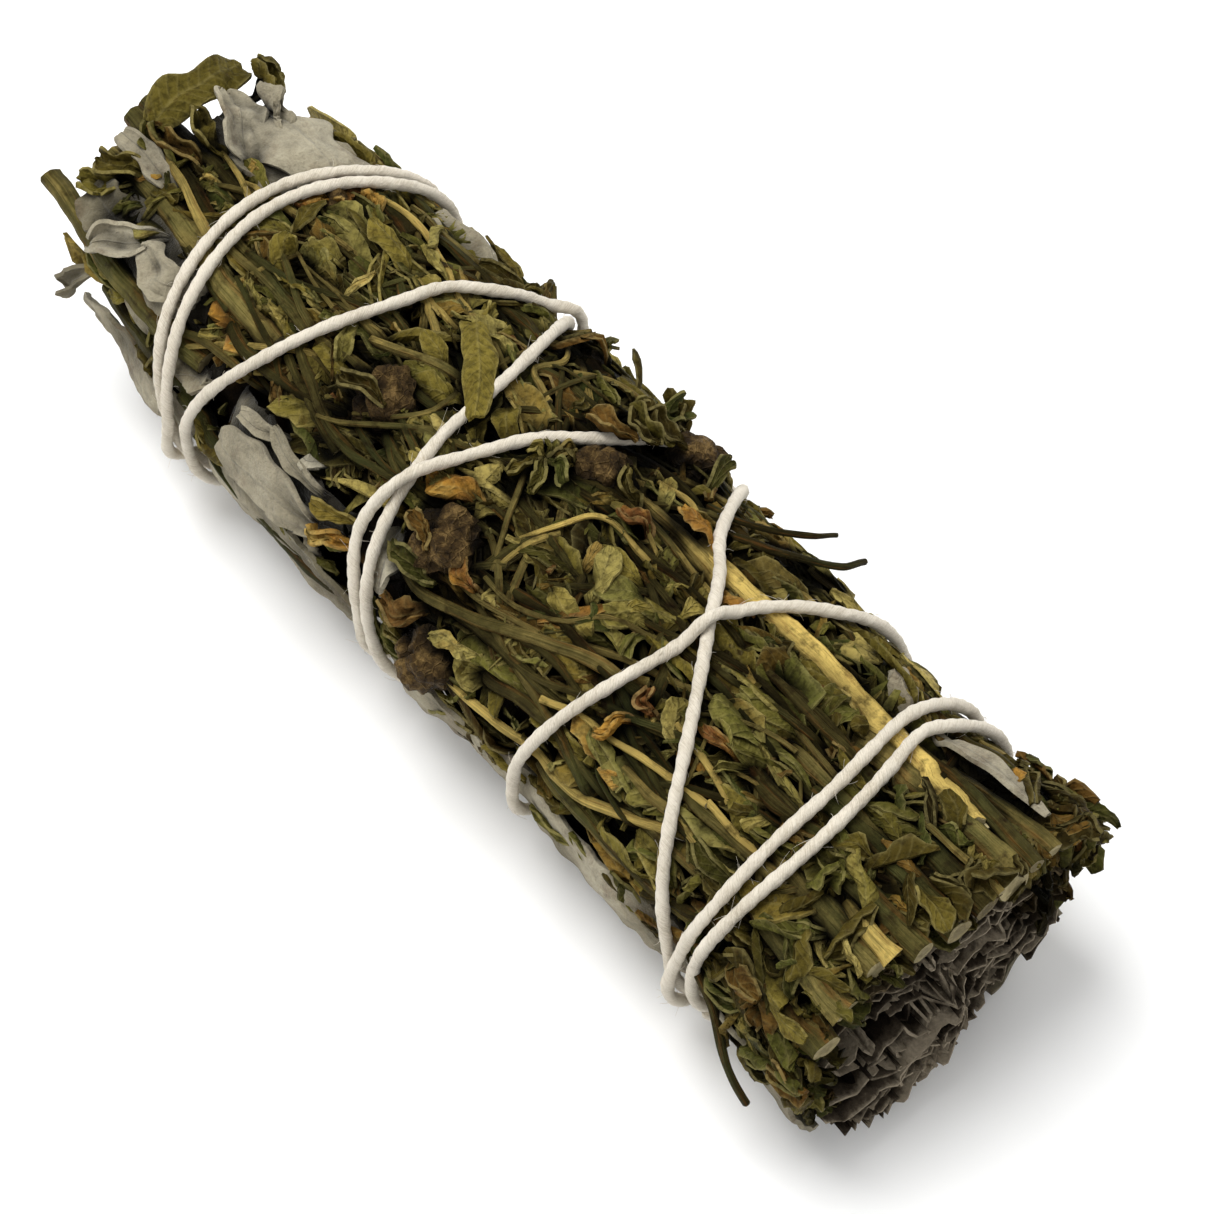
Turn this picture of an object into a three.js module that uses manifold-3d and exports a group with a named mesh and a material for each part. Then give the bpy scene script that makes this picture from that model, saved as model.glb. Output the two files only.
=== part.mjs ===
// A tied bunch of dried herbs, lying on its side: leafy rue stems on top, sage leaves packed inside and
// wrapped round the underside, and one cotton string wound round it in crossing turns and knotted.
// Millimetres, +Z up. +X runs along the bunch to its cut ends, and the origin is on the surface it rests on.
import * as THREE from "three";
import { mergeVertices } from "three/addons/utils/BufferGeometryUtils.js";
import Module from "manifold-3d";

const wasm = await Module();
wasm.setup();

// Driving dimensions of the bunch
const HALF_WIDTH = 16.6;
const HALF_HEIGHT = 13.2;
const SQUARENESS = 2.4; // 2 would be an ellipse
const CENTRE_HEIGHT = 13.75; // of the bunch's middle above the surface
const CUT_END_FLARE = 0.06; // share by which the cut end is wider
const LEAFY_END_TAPER = 0.13; // share by which the leafy end is slimmer
const MIDDLE = { x: -3.2, y: -0.2 }; // of what the bunch covers on the surface, from its own axis

const STRING_DIAMETER = 1.3;
const STRING_SIDES = 6;
const STRING_STEP_DEG = 16;
const FURROW_DEPTH = 0.9; // how far the string pulls the herbs in
const FURROW_HALF_WIDTH = 2.6;
const HUMP_HALF_WIDTH = 2.2 * STRING_DIAMETER; // where one turn passes over another
const KNOT_DEG = 212; // angle of the knot, low on the left side

const GAP = 0.3; // between pieces that touch
const SLIVER = 0.03; // details smaller than this are dropped after the cuts
const SPRAY_DEPTH = 6.8; // how far in from the surface the rue sprays reach
const SPRAY_FIRST_DEG = -20; // the sprays share the arc over the top between these two angles
const SPRAY_LAST_DEG = 171;
const SPRAY_COUNT = 6;
const SPRAY_EDGE_WAVE_DEG = 3;
const SPRAY_SEED = 151;
const BLADE_THICKNESS = 0.7;
const SAGE_THICKNESS = 0.8;

const COLOURS = {
  rue: new THREE.MeshStandardMaterial({ color: 0x6a6030, roughness: 0.85, metalness: 0 }),
  sage: new THREE.MeshStandardMaterial({ color: 0xaaa48c, roughness: 0.9, metalness: 0 }),
  packed: new THREE.MeshStandardMaterial({ color: 0x4c453a, roughness: 0.9, metalness: 0 }),
  straw: new THREE.MeshStandardMaterial({ color: 0xc9a25a, roughness: 0.75, metalness: 0 }),
  string: new THREE.MeshStandardMaterial({ color: 0xded3bc, roughness: 0.95, metalness: 0 }),
};

// How far along the string's turns are, in mm, at each angle turned from the knot, in degrees. The string
// leaves the knot, winds to the leafy end, goes twice round there, winds back across itself, goes twice
// round the cut end and comes back to the knot.
const STRING_ROUTE = [
  [36.2, 0], [35.6, 22], [34.6, 40], [32, 59], [28, 82], [23, 108], [19.3, 127], [16, 144], [12.5, 157],
  [7.5, 192], [4, 232], [1.5, 272], [-0.5, 312], [-2.5, 352], [-4.5, 392],
  [-5.2, 406], [-6.6, 424], [-8.2, 445], [-9.6, 467], [-10.2, 487], [-11.2, 507], [-13.2, 528],
  [-17.5, 562], [-22.5, 602], [-27, 642], [-30.5, 682], [-33, 722],
  [-34.6, 752], [-36.2, 772], [-38.2, 792], [-39.8, 812], [-40.6, 832], [-40.4, 852], [-39, 872], [-37, 892],
  [-35.6, 922], [-35.2, 962], [-35.4, 1002], [-35.6, 1042], [-35, 1082],
  [-33.4, 1112], [-34.4, 1132], [-36.3, 1152], [-37.9, 1172], [-38.8, 1192], [-38.6, 1212], [-37.2, 1232],
  [-35, 1252], [-33.6, 1282], [-33.2, 1322], [-33.2, 1362], [-33, 1402], [-32, 1442],
  [-31.8, 1472], [-30.2, 1492], [-27, 1519], [-24.8, 1546], [-23, 1572], [-22, 1590], [-19.5, 1606],
  [-15.5, 1642], [-12, 1682], [-9.5, 1722], [-7.5, 1762], [-6.5, 1802],
  [-6, 1832], [-7, 1849], [-8.8, 1866], [-8.4, 1882], [-7.4, 1897], [-6, 1912], [-4, 1932], [-0.5, 1952],
  [1.5, 1970], [3.5, 2002], [7, 2042], [9.5, 2082], [12, 2122], [14, 2162],
  [15, 2192], [15.3, 2207], [16.6, 2227], [18, 2247], [19, 2267], [19.3, 2287], [20, 2302], [22, 2317],
  [24.5, 2332], [27.5, 2362], [30.5, 2402], [33, 2442], [35, 2482], [36, 2522],
  [36.3, 2552], [36.6, 2567], [37.2, 2587], [37.2, 2612], [36.9, 2637], [36.2, 2657], [35.4, 2677],
  [35.6, 2692], [37, 2722], [38, 2762], [38.5, 2802], [38.4, 2842], [38, 2882],
  [38, 2912], [38.2, 2927], [39, 2947], [39.6, 2972], [39.2, 2997], [38.4, 3017], [37.3, 3037],
  [38.2, 3052], [40, 3082], [40.6, 3122], [40.4, 3162], [39.6, 3202], [37.8, 3240],
];

const radians = THREE.MathUtils.degToRad;
const smoothstep = THREE.MathUtils.smoothstep;

// A seeded random number source, the same on every run.
function seeded(seed) {
  let state = seed;
  return (low = 0, high = 1) => {
    state = (state + 0x6d2b79f5) | 0;
    let mixed = Math.imul(state ^ (state >>> 15), 1 | state);
    mixed = (mixed + Math.imul(mixed ^ (mixed >>> 7), 61 | mixed)) ^ mixed;
    return low + (high - low) * (((mixed ^ (mixed >>> 14)) >>> 0) / 4294967296);
  };
}

// ---- The bunch's surface ----

// A smooth line through values at uneven places, as [value, place] pairs.
function smoothThrough(pairs, place) {
  let i = 1;
  while (i < pairs.length - 1 && pairs[i][1] < place) i += 1;
  const [from, to] = [pairs[i - 1], pairs[i]];
  const [before, after] = [pairs[Math.max(i - 2, 0)], pairs[Math.min(i + 1, pairs.length - 1)]];
  const span = to[1] - from[1];
  const slopeIn = ((to[0] - before[0]) / Math.max(to[1] - before[1], 1e-6)) * span;
  const slopeOut = ((after[0] - from[0]) / Math.max(after[1] - from[1], 1e-6)) * span;
  const u = (place - from[1]) / span;
  return (
    (2 * u ** 3 - 3 * u ** 2 + 1) * from[0] + (u ** 3 - 2 * u ** 2 + u) * slopeIn +
    (-2 * u ** 3 + 3 * u ** 2) * to[0] + (u ** 3 - u ** 2) * slopeOut
  );
}

const STRING_TURNED_DEG = STRING_ROUTE.at(-1)[1];
const stringX = (turned) => smoothThrough(STRING_ROUTE, turned);

// The bunch's radius at a place along it and an angle round it, before the string pulls it in.
function bareRadius(x, deg) {
  const girth = 1 + CUT_END_FLARE * smoothstep(x, 38, 50) - LEAFY_END_TAPER * (1 - smoothstep(x, -54, -34));
  const across = Math.abs(Math.cos(radians(deg))) / HALF_WIDTH;
  const up = Math.abs(Math.sin(radians(deg))) / HALF_HEIGHT;
  return girth * (across ** SQUARENESS + up ** SQUARENESS) ** (-1 / SQUARENESS);
}

// The nearest that any turn of the string comes, along the bunch, at this angle.
function stringDistance(x, deg) {
  const first = (((KNOT_DEG - deg) % 360) + 360) % 360;
  let nearest = Infinity;
  for (let turned = first; turned <= STRING_TURNED_DEG; turned += 360) {
    nearest = Math.min(nearest, Math.abs(x - stringX(turned)));
  }
  return nearest;
}

function surfaceRadius(x, deg) {
  return bareRadius(x, deg) - FURROW_DEPTH * Math.exp(-((stringDistance(x, deg) / FURROW_HALF_WIDTH) ** 2));
}

function onAxis(x, deg, radius) {
  return new THREE.Vector3(x, radius * Math.cos(radians(deg)), CENTRE_HEIGHT + radius * Math.sin(radians(deg)));
}

// A point at a depth under the pulled-in surface; a depth below 0 stands out of it.
const under = (x, deg, depth) => onAxis(x, deg, surfaceRadius(x, deg) - depth);

// ---- Closed surfaces and solids ----

// A closed surface through rings of equal count, shut at each end by a point or by a fan round its middle.
function loft(rings, startPoint, endPoint) {
  const middle = (ring) => ring.reduce((sum, p) => sum.add(p), new THREE.Vector3()).divideScalar(ring.length);
  const count = rings[0].length;
  const points = [...rings.flat(), startPoint ?? middle(rings[0]), endPoint ?? middle(rings.at(-1))];
  const [start, end, last] = [points.length - 2, points.length - 1, (rings.length - 1) * count];
  const faces = [];
  for (let k = 0; k < count; k += 1) {
    const next = (k + 1) % count;
    faces.push(start, next, k, end, last + k, last + next);
    for (let i = 0; i < rings.length - 1; i += 1) {
      const [a, b] = [i * count, (i + 1) * count];
      faces.push(a + k, a + next, b + next, a + k, b + next, b + k);
    }
  }
  return new THREE.BufferGeometry().setFromPoints(points).setIndex(faces);
}

// A closed geometry as a solid, with its faces turned outwards.
function solid(geometry) {
  const plain = geometry.clone();
  plain.deleteAttribute("normal");
  plain.deleteAttribute("uv");
  const merged = mergeVertices(plain, 1e-4);
  const vertProperties = merged.attributes.position.array;
  const make = (triVerts) => new wasm.Manifold(new wasm.Mesh({ numProp: 3, vertProperties, triVerts }));
  const made = make(new Uint32Array(merged.index.array));
  return made.volume() > 0 ? made : make(new Uint32Array(merged.index.array).reverse());
}

const joined = (solids) => solids.reduce((sum, one) => sum.add(one));
const largest = (made) => made.decompose().reduce((best, one) => (one.volume() > best.volume() ? one : best));

// The largest body that the cuts leave, without slivers, as a named mesh.
function mesh(name, made, material) {
  const kept = largest(made.subtract(belowSurface())).simplify(SLIVER);
  const { numProp, vertProperties, triVerts } = largest(kept).getMesh();
  const position = new Float32Array((vertProperties.length / numProp) * 3);
  for (let i = 0; i < position.length / 3; i += 1) {
    position.set(vertProperties.subarray(i * numProp, i * numProp + 3), i * 3);
  }
  const geometry = new THREE.BufferGeometry();
  geometry.setAttribute("position", new THREE.BufferAttribute(position, 3));
  geometry.setIndex(new THREE.BufferAttribute(new Uint32Array(triVerts), 1));
  geometry.computeVertexNormals();
  const named = new THREE.Mesh(geometry, material);
  named.name = name;
  return named;
}

// The surface that the bunch rests on presses its lowest places flat.
const REST_BLOCK = { length: 200, width: 100, depth: 10 };
function belowSurface() {
  const block = new THREE.BoxGeometry(REST_BLOCK.length, REST_BLOCK.width, REST_BLOCK.depth);
  block.translate(0, 0, -REST_BLOCK.depth / 2);
  return solid(block);
}

// Circles round a line of points, each square to the line, whose first corner faces outwards by a turn.
function circles(points, radii, outward, sides, firstTurn = 0) {
  return points.map((point, i) => {
    const [before, after] = [points[Math.max(i - 1, 0)], points[Math.min(i + 1, points.length - 1)]];
    const along = after.clone().sub(before).normalize();
    const side = new THREE.Vector3().crossVectors(along, outward[i]).normalize();
    const up = new THREE.Vector3().crossVectors(side, along);
    return Array.from({ length: sides }, (_, k) => {
      const turn = ((k + firstTurn) / sides) * 2 * Math.PI;
      const corner = point.clone().addScaledVector(side, radii[i] * Math.cos(turn));
      return corner.addScaledVector(up, radii[i] * Math.sin(turn));
    });
  });
}

// A round rod of changing radius along a line of points.
const rod = (points, radii, outward, sides) => solid(loft(circles(points, radii, outward, sides)));

const outwardAt = (deg) => new THREE.Vector3(0, Math.cos(radians(deg)), Math.sin(radians(deg)));

// ---- The string ----

// How far the string is lifted where a later turn crosses an earlier one, every few degrees turned.
const LIFT_STEP_DEG = 3;
const HUMP_REACH_DEG = 45;
function stringLifts() {
  const lifts = new Array(Math.floor(STRING_TURNED_DEG / LIFT_STEP_DEG) + 1).fill(0);
  const perTurn = 360 / LIFT_STEP_DEG;
  const apart = (i, turns) => stringX(i * LIFT_STEP_DEG) - stringX((i - turns * perTurn) * LIFT_STEP_DEG);
  for (let turns = 1; turns * perTurn < lifts.length; turns += 1) {
    for (let i = turns * perTurn + 1; i < lifts.length; i += 1) {
      if (apart(i, turns) * apart(i - 1, turns) > 0) continue;
      const reach = HUMP_REACH_DEG / LIFT_STEP_DEG;
      const last = Math.min(i + reach, lifts.length - 1);
      for (let j = Math.max(i - reach, turns * perTurn); j <= last; j += 1) {
        const near = Math.min(Math.abs(apart(j, turns)) / HUMP_HALF_WIDTH, 1);
        const fade = 1 - smoothstep(Math.abs(j - i) / reach, 0.4, 1);
        const hump = STRING_DIAMETER * Math.cos((near * Math.PI) / 2) ** 2 * fade;
        lifts[j] = Math.max(lifts[j], lifts[j - turns * perTurn] * fade * (1 - near) + hump);
      }
    }
  }
  return lifts;
}

// The string in stretches of less than a turn, so that turns that touch at a crossing are fused cleanly.
const STRETCH_STEPS = 19;
function wound(radius) {
  const lifts = stringLifts();
  const steps = Math.round(STRING_TURNED_DEG / STRING_STEP_DEG);
  const [points, outward] = [[], []];
  for (let i = 0; i <= steps; i += 1) {
    const turned = (STRING_TURNED_DEG * i) / steps;
    const deg = KNOT_DEG - turned;
    const x = stringX(turned);
    const lift = lifts[Math.round(turned / LIFT_STEP_DEG)];
    points.push(onAxis(x, deg, bareRadius(x, deg) - FURROW_DEPTH + STRING_DIAMETER / 2 + lift));
    outward.push(outwardAt(deg));
  }
  const rings = circles(points, points.map(() => radius), outward, STRING_SIDES, 0.5);
  const stretches = [];
  for (let i = 0; i < steps; i += STRETCH_STEPS) {
    stretches.push(solid(loft(rings.slice(i, Math.min(i + STRETCH_STEPS, steps) + 1))));
  }
  return joined(stretches);
}

// The knot is a flattened lump with the string's two cut tails lying beside it: along, angle, depth.
const KNOT_X = 37;
const KNOT_DEPTH = FURROW_DEPTH - STRING_DIAMETER * 0.75;
const KNOT_TAILS = [
  [[KNOT_X, 0, -0.2], [34.4, 5, 0], [32, 7, -0.1], [29.6, 6, 0.1]],
  [[KNOT_X, 0, -0.2], [38.6, 9, 0], [40, 17, -0.1], [42, 21, 0.1]],
];
function knot(grow) {
  const lump = new THREE.IcosahedronGeometry(STRING_DIAMETER * 1.3 + grow, 1);
  lump.scale(1.2, 1, 0.8);
  lump.rotateX(radians(KNOT_DEG - 90));
  const seat = under(KNOT_X, KNOT_DEG, KNOT_DEPTH - 0.2);
  lump.translate(seat.x, seat.y, seat.z);
  const tails = KNOT_TAILS.map((route) =>
    rod(
      route.map(([x, turned, depth]) => under(x, KNOT_DEG + turned, KNOT_DEPTH + depth)),
      route.map(() => STRING_DIAMETER / 2 + grow),
      route.map(([, turned]) => outwardAt(KNOT_DEG + turned)),
      STRING_SIDES,
    ),
  );
  return joined([solid(lump), ...tails]);
}

// ---- Blades, stems and seed heads, laid on the bunch ----

// A place some way along a heading from a start, and some way to its side. Heading 0 points to the leafy
// end. The height is above the bunch's surface, and a turn of string presses what it crosses down.
function laid(start, heading, along, side, height) {
  const turn = radians(heading);
  const x = start.x - along * Math.cos(turn) + side * Math.sin(turn);
  const arc = along * Math.sin(turn) + side * Math.cos(turn);
  const deg = start.deg + THREE.MathUtils.radToDeg(arc / bareRadius(start.x, start.deg));
  const pressed = stringDistance(x, deg) < FURROW_HALF_WIDTH ? -GAP - BLADE_THICKNESS : Infinity;
  return onAxis(x, deg, surfaceRadius(x, deg) + Math.min(height, pressed));
}

// One rue leaflet: narrow at its base and broad at its tip, folded along its rib.
const LEAFLET_OUTLINE = [0.55, 1];
function leaflet(start, { length, width, heading, height, fold, roll }) {
  const rings = LEAFLET_OUTLINE.map((share, i) => {
    const u = (i + 1) / (LEAFLET_OUTLINE.length + 0.6);
    const half = (share * width) / 2;
    const rise = -start.depth + (height + start.depth) * u ** 0.7;
    const place = (side, lift) => laid(start, heading, u * length, side, rise + lift);
    return [
      place(-half, fold - roll * half),
      place(0, BLADE_THICKNESS / 2),
      place(half, fold + roll * half),
      place(0, -BLADE_THICKNESS / 2),
    ];
  });
  return solid(loft(rings, laid(start, heading, 0, 0, -start.depth), laid(start, heading, length, 0, height)));
}

// A rue leaf cut into rounded lobes round its middle, arched, on a narrow base.
function lobedLeaf(start, { length, heading, lobes, height, arch }) {
  const middle = 0.52 * length;
  const outline = [[-168, 0.95], [-192, 0.95]];
  for (let i = lobes - 1; i >= 0; i -= 1) {
    const centre = -96 + (192 * (i + 0.5)) / lobes;
    const reach = 1 - 0.16 * Math.abs(centre / 96);
    const half = 62 / lobes;
    outline.push([centre + half, reach * 0.93], [centre - half, reach * 0.93]);
    if (i > 0) outline.push([centre - 96 / lobes, 0.52]);
  }
  const rim = (side) =>
    outline.map(([turn, share]) => {
      const away = share * 0.48 * length;
      const along = middle + away * Math.cos(radians(turn));
      const rise = -start.depth + (height + start.depth) * (along / length) ** 0.6;
      return laid(start, heading, along, away * Math.sin(radians(turn)), rise - arch * share ** 2 + side);
    });
  const hub = (side) => laid(start, heading, middle, 0, (height - start.depth) / 2 + arch * 0.4 + side);
  const half = BLADE_THICKNESS / 2;
  return solid(loft([rim(half), rim(-half)], hub(half), hub(-half)));
}

// A stem from its cut end to its tip: a slim rod that wanders a little and gets thinner, under the string.
const STEM_SIDES = 6;
const STEM_STEP = 13;
const STEM_WANDER_DEG = 1.4;
const STEM_THINNING = 0.35;
function stem({ deg, from, to, radius }, phase) {
  const steps = Math.max(3, Math.round((from - to) / STEM_STEP));
  const places = Array.from({ length: steps + 1 }, (_, i) => {
    const u = i / steps;
    const x = from + (to - from) * u;
    const turned = deg + STEM_WANDER_DEG * Math.sin(phase + 5 * u);
    return { x, deg: turned, radius: radius * (1 - STEM_THINNING * u) };
  });
  return rod(
    places.map((p) => onAxis(p.x, p.deg, bareRadius(p.x, p.deg) - FURROW_DEPTH - GAP - p.radius)),
    places.map((p) => p.radius),
    places.map((p) => outwardAt(p.deg)),
    STEM_SIDES,
  );
}

// A rue seed head: a globe with four lobes, drawn in between them and at its top.
function seedHead(start, radius, tilt) {
  const axis = outwardAt(start.deg + tilt).add(new THREE.Vector3(-0.5, 0, 0)).normalize();
  const turn = new THREE.Quaternion().setFromUnitVectors(new THREE.Vector3(0, 0, 1), axis);
  const seat = under(start.x, start.deg, start.depth);
  const place = (across, around, z) =>
    new THREE.Vector3(across * Math.cos(around), across * Math.sin(around), z).applyQuaternion(turn).add(seat);
  const rings = [0.75, 0.5, 0.25].map((share) => {
    const height = Math.PI * share;
    return Array.from({ length: 8 }, (_, k) => {
      const lobe = k % 2 ? 0.78 : 1.08;
      return place(radius * Math.sin(height) * lobe, (k / 4) * Math.PI, radius * Math.cos(height));
    });
  });
  return solid(loft(rings, place(0, 0, -radius * 0.95), place(0, 0, radius * 0.62)));
}

// ---- Rue sprays ----

const sprayEdgeDeg = (index, x) =>
  SPRAY_FIRST_DEG + ((SPRAY_LAST_DEG - SPRAY_FIRST_DEG) * index) / SPRAY_COUNT +
  (index % SPRAY_COUNT === 0 ? 0 : SPRAY_EDGE_WAVE_DEG * Math.sin(x / 12 + index * 2.1));

// The space between two spray edges, from one depth under the bare surface to another.
function between(index, { shallow, deep, from, to, steps, clear }) {
  const rings = Array.from({ length: steps + 1 }, (_, i) => {
    const x = from + ((to - from) * i) / steps;
    const [low, high] = [sprayEdgeDeg(index, x) + clear, sprayEdgeDeg(index + 1, x) - clear];
    const arc = [0, 0.5, 1].map((u) => low + (high - low) * u);
    const at = (depth) => (deg) => onAxis(x, deg, bareRadius(x, deg) - depth);
    return [...arc.map(at(shallow)), ...arc.reverse().map(at(deep))];
  });
  return solid(loft(rings));
}

// Seed heads sit where they show in the bunch: along it, angle round it, depth, radius.
const SEED_HEADS = [
  { x: -16.5, deg: 113, depth: 1.6, radius: 3.4 },
  { x: -37, deg: 62, depth: 1.8, radius: 2.6 },
  { x: 1.2, deg: 68, depth: 1.0, radius: 2.8 },
  { x: -2, deg: 132, depth: 0.9, radius: 3.7 },
  { x: 2.5, deg: 166, depth: 0.9, radius: 3.4 },
  { x: 4, deg: 33, depth: 0.2, radius: 2.9 },
  { x: -8, deg: 4, depth: 1.2, radius: 3.0 },
];

// The stems: angle round the bunch, where each starts, how far it reaches, and its radius at its start. Most
// are cut at the cut end and go in among the leaves; the rest come out of them at the leafy end.
const STEMS = [
  { deg: -9, from: 48, to: 12, radius: 1.4 },
  { deg: 6, from: 50.5, to: 4, radius: 1.6 },
  { deg: 22, from: 49, to: 10, radius: 1.4 },
  { deg: 40, from: 49.5, to: 22, radius: 1.2 },
  { deg: 66, from: 51.5, to: -8, radius: 1.8 },
  { deg: 84, from: 52, to: 14, radius: 1.2 },
  { deg: 98, from: 52, to: 6, radius: 1.2 },
  { deg: 113, from: 51.5, to: -4, radius: 1.1 },
  { deg: 127, from: 50, to: 12, radius: 1.2 },
  { deg: 143, from: 50.5, to: 8, radius: 1.3 },
  { deg: 157, from: 51, to: 18, radius: 1.3 },
  { deg: 24, from: -22, to: -52, radius: 1.2 },
  { deg: 50, from: -30, to: -54, radius: 1.2 },
  { deg: 92, from: -18, to: -58, radius: 1.2 },
  { deg: 103, from: -8, to: -57.5, radius: 1.3 },
  { deg: 121, from: -20, to: -55.5, radius: 1.2 },
  { deg: 151, from: -26, to: -58.5, radius: 1.3 },
  { deg: 164, from: -28, to: -48, radius: 1.2 },
];

// Where sage lies on top and no rue leaf covers it: from and to along the bunch, and between two angles.
const BARE_SAGE = [
  [-54, -38, 37, 80],
  [-26.5, -13, 148, 171],
  [-54, -37, 128, 149],
  [-9, -4, 142, 168],
];
const onBareSage = (x, deg) =>
  BARE_SAGE.some(([from, to, low, high]) => x > from && x < to && deg > low && deg < high);

// A spray's solid middle, and the room that all of it keeps to, which reaches past the bunch's surface.
const SPRAY_CORE = { shallow: 3.2, deep: SPRAY_DEPTH - GAP, from: 46.5, to: -46, steps: 6, clear: 1.6 };
const SPRAY_ROOM = { shallow: -9, deep: SPRAY_DEPTH, from: 56, to: -60, steps: 10, clear: 1.1 };
const LEAF_ROWS = 11;
const LEAF_ROWS_START = 45; // along the bunch
const LEAF_ROWS_STEP = -8.8;
const LEAF_BASE_DEPTH = 2.9;

function spray(index) {
  const random = seeded(SPRAY_SEED + index);
  const parts = [between(index, SPRAY_CORE)];
  const low = sprayEdgeDeg(index, 0);
  const high = sprayEdgeDeg(index + 1, 0);
  const own = (place) => place.deg >= low && place.deg < high;
  STEMS.filter(own).forEach((one) => parts.push(stem(one, random(0, 6))));
  SEED_HEADS.filter(own).forEach((one) => parts.push(seedHead(one, one.radius, random(-25, 25))));
  for (let row = 0; row < LEAF_ROWS; row += 1) {
    const x = LEAF_ROWS_START + LEAF_ROWS_STEP * (row + random(-0.2, 0.2));
    if ((row + index) % 3 === 0) {
      const start = { x, deg: low + (high - low) * random(0.42, 0.58), depth: LEAF_BASE_DEPTH };
      const size = { length: random(10, 13), lobes: 3 + ((row + index) % 2), heading: random(-18, 18) };
      const shape = { height: random(-0.1, 0.8), arch: random(0.3, 0.9) };
      if (!onBareSage(x - size.length / 2, start.deg)) parts.push(lobedLeaf(start, { ...size, ...shape }));
      continue;
    }
    [0.27, 0.73].forEach((across) => {
      const place = { x: x + random(-2, 2), deg: low + (high - low) * (across + random(-0.08, 0.08)) };
      const size = { length: random(9, 12.5), width: random(3.6, 4.8) };
      const heading = random(-6, 22) * Math.sign(across - 0.5);
      const shape = { height: random(-0.4, 0.8), fold: random(-0.5, 0.7), roll: random(-0.25, 0.25) };
      if (onBareSage(place.x - size.length / 2, place.deg)) return;
      parts.push(leaflet({ ...place, depth: LEAF_BASE_DEPTH }, { ...size, heading, ...shape }));
    });
  }
  return joined(parts).intersect(between(index, SPRAY_ROOM));
}

// ---- Sage leaves ----

// A broad sage leaf, laid under the string along a line from its base to its tip, with waved margins.
const SAGE_OUTLINE = [0.72, 0.95, 1, 1, 1, 0.93, 0.5];
function sageLeaf(leaf, grow = 0) {
  const { from, to, fromDeg, toDeg, width, layer = 0, wave = 0.1, phase = 0 } = leaf;
  const { billow = 0, billowX = 0, billowHalfLength = 1 } = leaf;
  const half = SAGE_THICKNESS / 2 + grow;
  const reach = Math.sign(to - from) * grow;
  const middleDeg = (u) => fromDeg + (toDeg - fromDeg) * u;
  const degPerMm = THREE.MathUtils.radToDeg(1 / bareRadius((from + to) / 2, (fromDeg + toDeg) / 2));
  const place = (u, v, share, side) => {
    const x = from - reach + (to - from + 2 * reach) * u;
    const deg = middleDeg(u) + v * ((share * width) / 2 + grow) * degPerMm;
    const ripple = wave * (Math.sin(phase + 9 * u + 2.2 * v) - 1);
    const bulge = billow * (1 - smoothstep(Math.abs(x - billowX), 2, billowHalfLength)) * (1 - v * v);
    const depth = FURROW_DEPTH + GAP + SAGE_THICKNESS / 2 + layer * (SAGE_THICKNESS + 2 * GAP);
    const thin = Math.abs(v) === 1 ? 0.6 : 1;
    return onAxis(x, deg, bareRadius(x, deg) - depth + ripple + bulge + side * half * thin);
  };
  const rings = SAGE_OUTLINE.map((share, i) => {
    const u = i / (SAGE_OUTLINE.length - 1);
    const across = [-1, -0.4, 0.4, 1];
    const outer = across.map((v) => place(u, v, share, 1));
    return [...outer, ...across.reverse().map((v) => place(u, v, share, -1))];
  });
  return solid(loft(rings));
}

// The leaves wrapped round the underside, in two layers. One billows out between two turns of the string.
const BILLOW = { billowX: 21.3, billowHalfLength: 9, billow: 2.8 };
const SAGE_LEAVES = [
  { name: "sage_leaf_left_cut_end", from: 51, to: -4, fromDeg: 196, toDeg: 198, width: 13 },
  { name: "sage_leaf_left_leafy_end", from: -6, to: -51, fromDeg: 198, toDeg: 194, width: 13 },
  { name: "sage_leaf_base_cut_end", from: 50.5, to: -7, fromDeg: 257, toDeg: 257, width: 13.4, ...BILLOW },
  { name: "sage_leaf_base_leafy_end", from: -9, to: -49, fromDeg: 257, toDeg: 257, width: 13.4 },
  { name: "sage_leaf_right_cut_end", from: 50.5, to: 0, fromDeg: 313, toDeg: 313, width: 13 },
  { name: "sage_leaf_right_leafy_end", from: -2, to: -50, fromDeg: 313, toDeg: 313, width: 13 },
  { name: "sage_leaf_inner_left", from: 49.5, to: -48, fromDeg: 226, toDeg: 226, width: 14, layer: 1 },
  { name: "sage_leaf_inner_right", from: 48.5, to: -47.5, fromDeg: 288, toDeg: 288, width: 14, layer: 1 },
];

// The leaves that show among the rue on top.
const SAGE_LEAVES_ON_TOP = [
  { name: "sage_leaf_top_right", from: -12, to: -53, fromDeg: 40, toDeg: 72, width: 11, wave: 0.2 },
  { name: "sage_leaf_top_left", from: -11, to: -29, fromDeg: 162, toDeg: 157, width: 7.5, wave: 0.2 },
  { name: "sage_leaf_tip_left", from: -31, to: -54, fromDeg: 150, toDeg: 136, width: 8, wave: 0.2, phase: 1 },
];

// ---- The straw-coloured dry stem that lies on top near the cut end ----

const STRAW = { from: 13, to: 45.4, radius: 1.15, sides: 8, steps: 7 };
const STRAW_ROUTE = [
  [60, 13], [58.5, 19], [56.5, 27], [55.5, 35], [56, 40], [59.5, 43], [65, 45.4],
]; // angle round the bunch, place along it
function strawStem(grow = 0) {
  const places = Array.from({ length: STRAW.steps + 1 }, (_, i) => {
    const x = STRAW.from - grow + ((STRAW.to - STRAW.from + 2 * grow) * i) / STRAW.steps;
    return { x, deg: smoothThrough(STRAW_ROUTE, x) };
  });
  return rod(
    places.map((p) => onAxis(p.x, p.deg, bareRadius(p.x, p.deg) - FURROW_DEPTH - GAP - STRAW.radius)),
    places.map(() => STRAW.radius + grow),
    places.map((p) => outwardAt(p.deg)),
    STRAW.sides,
  );
}

// ---- The sage leaves packed inside ----

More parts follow.
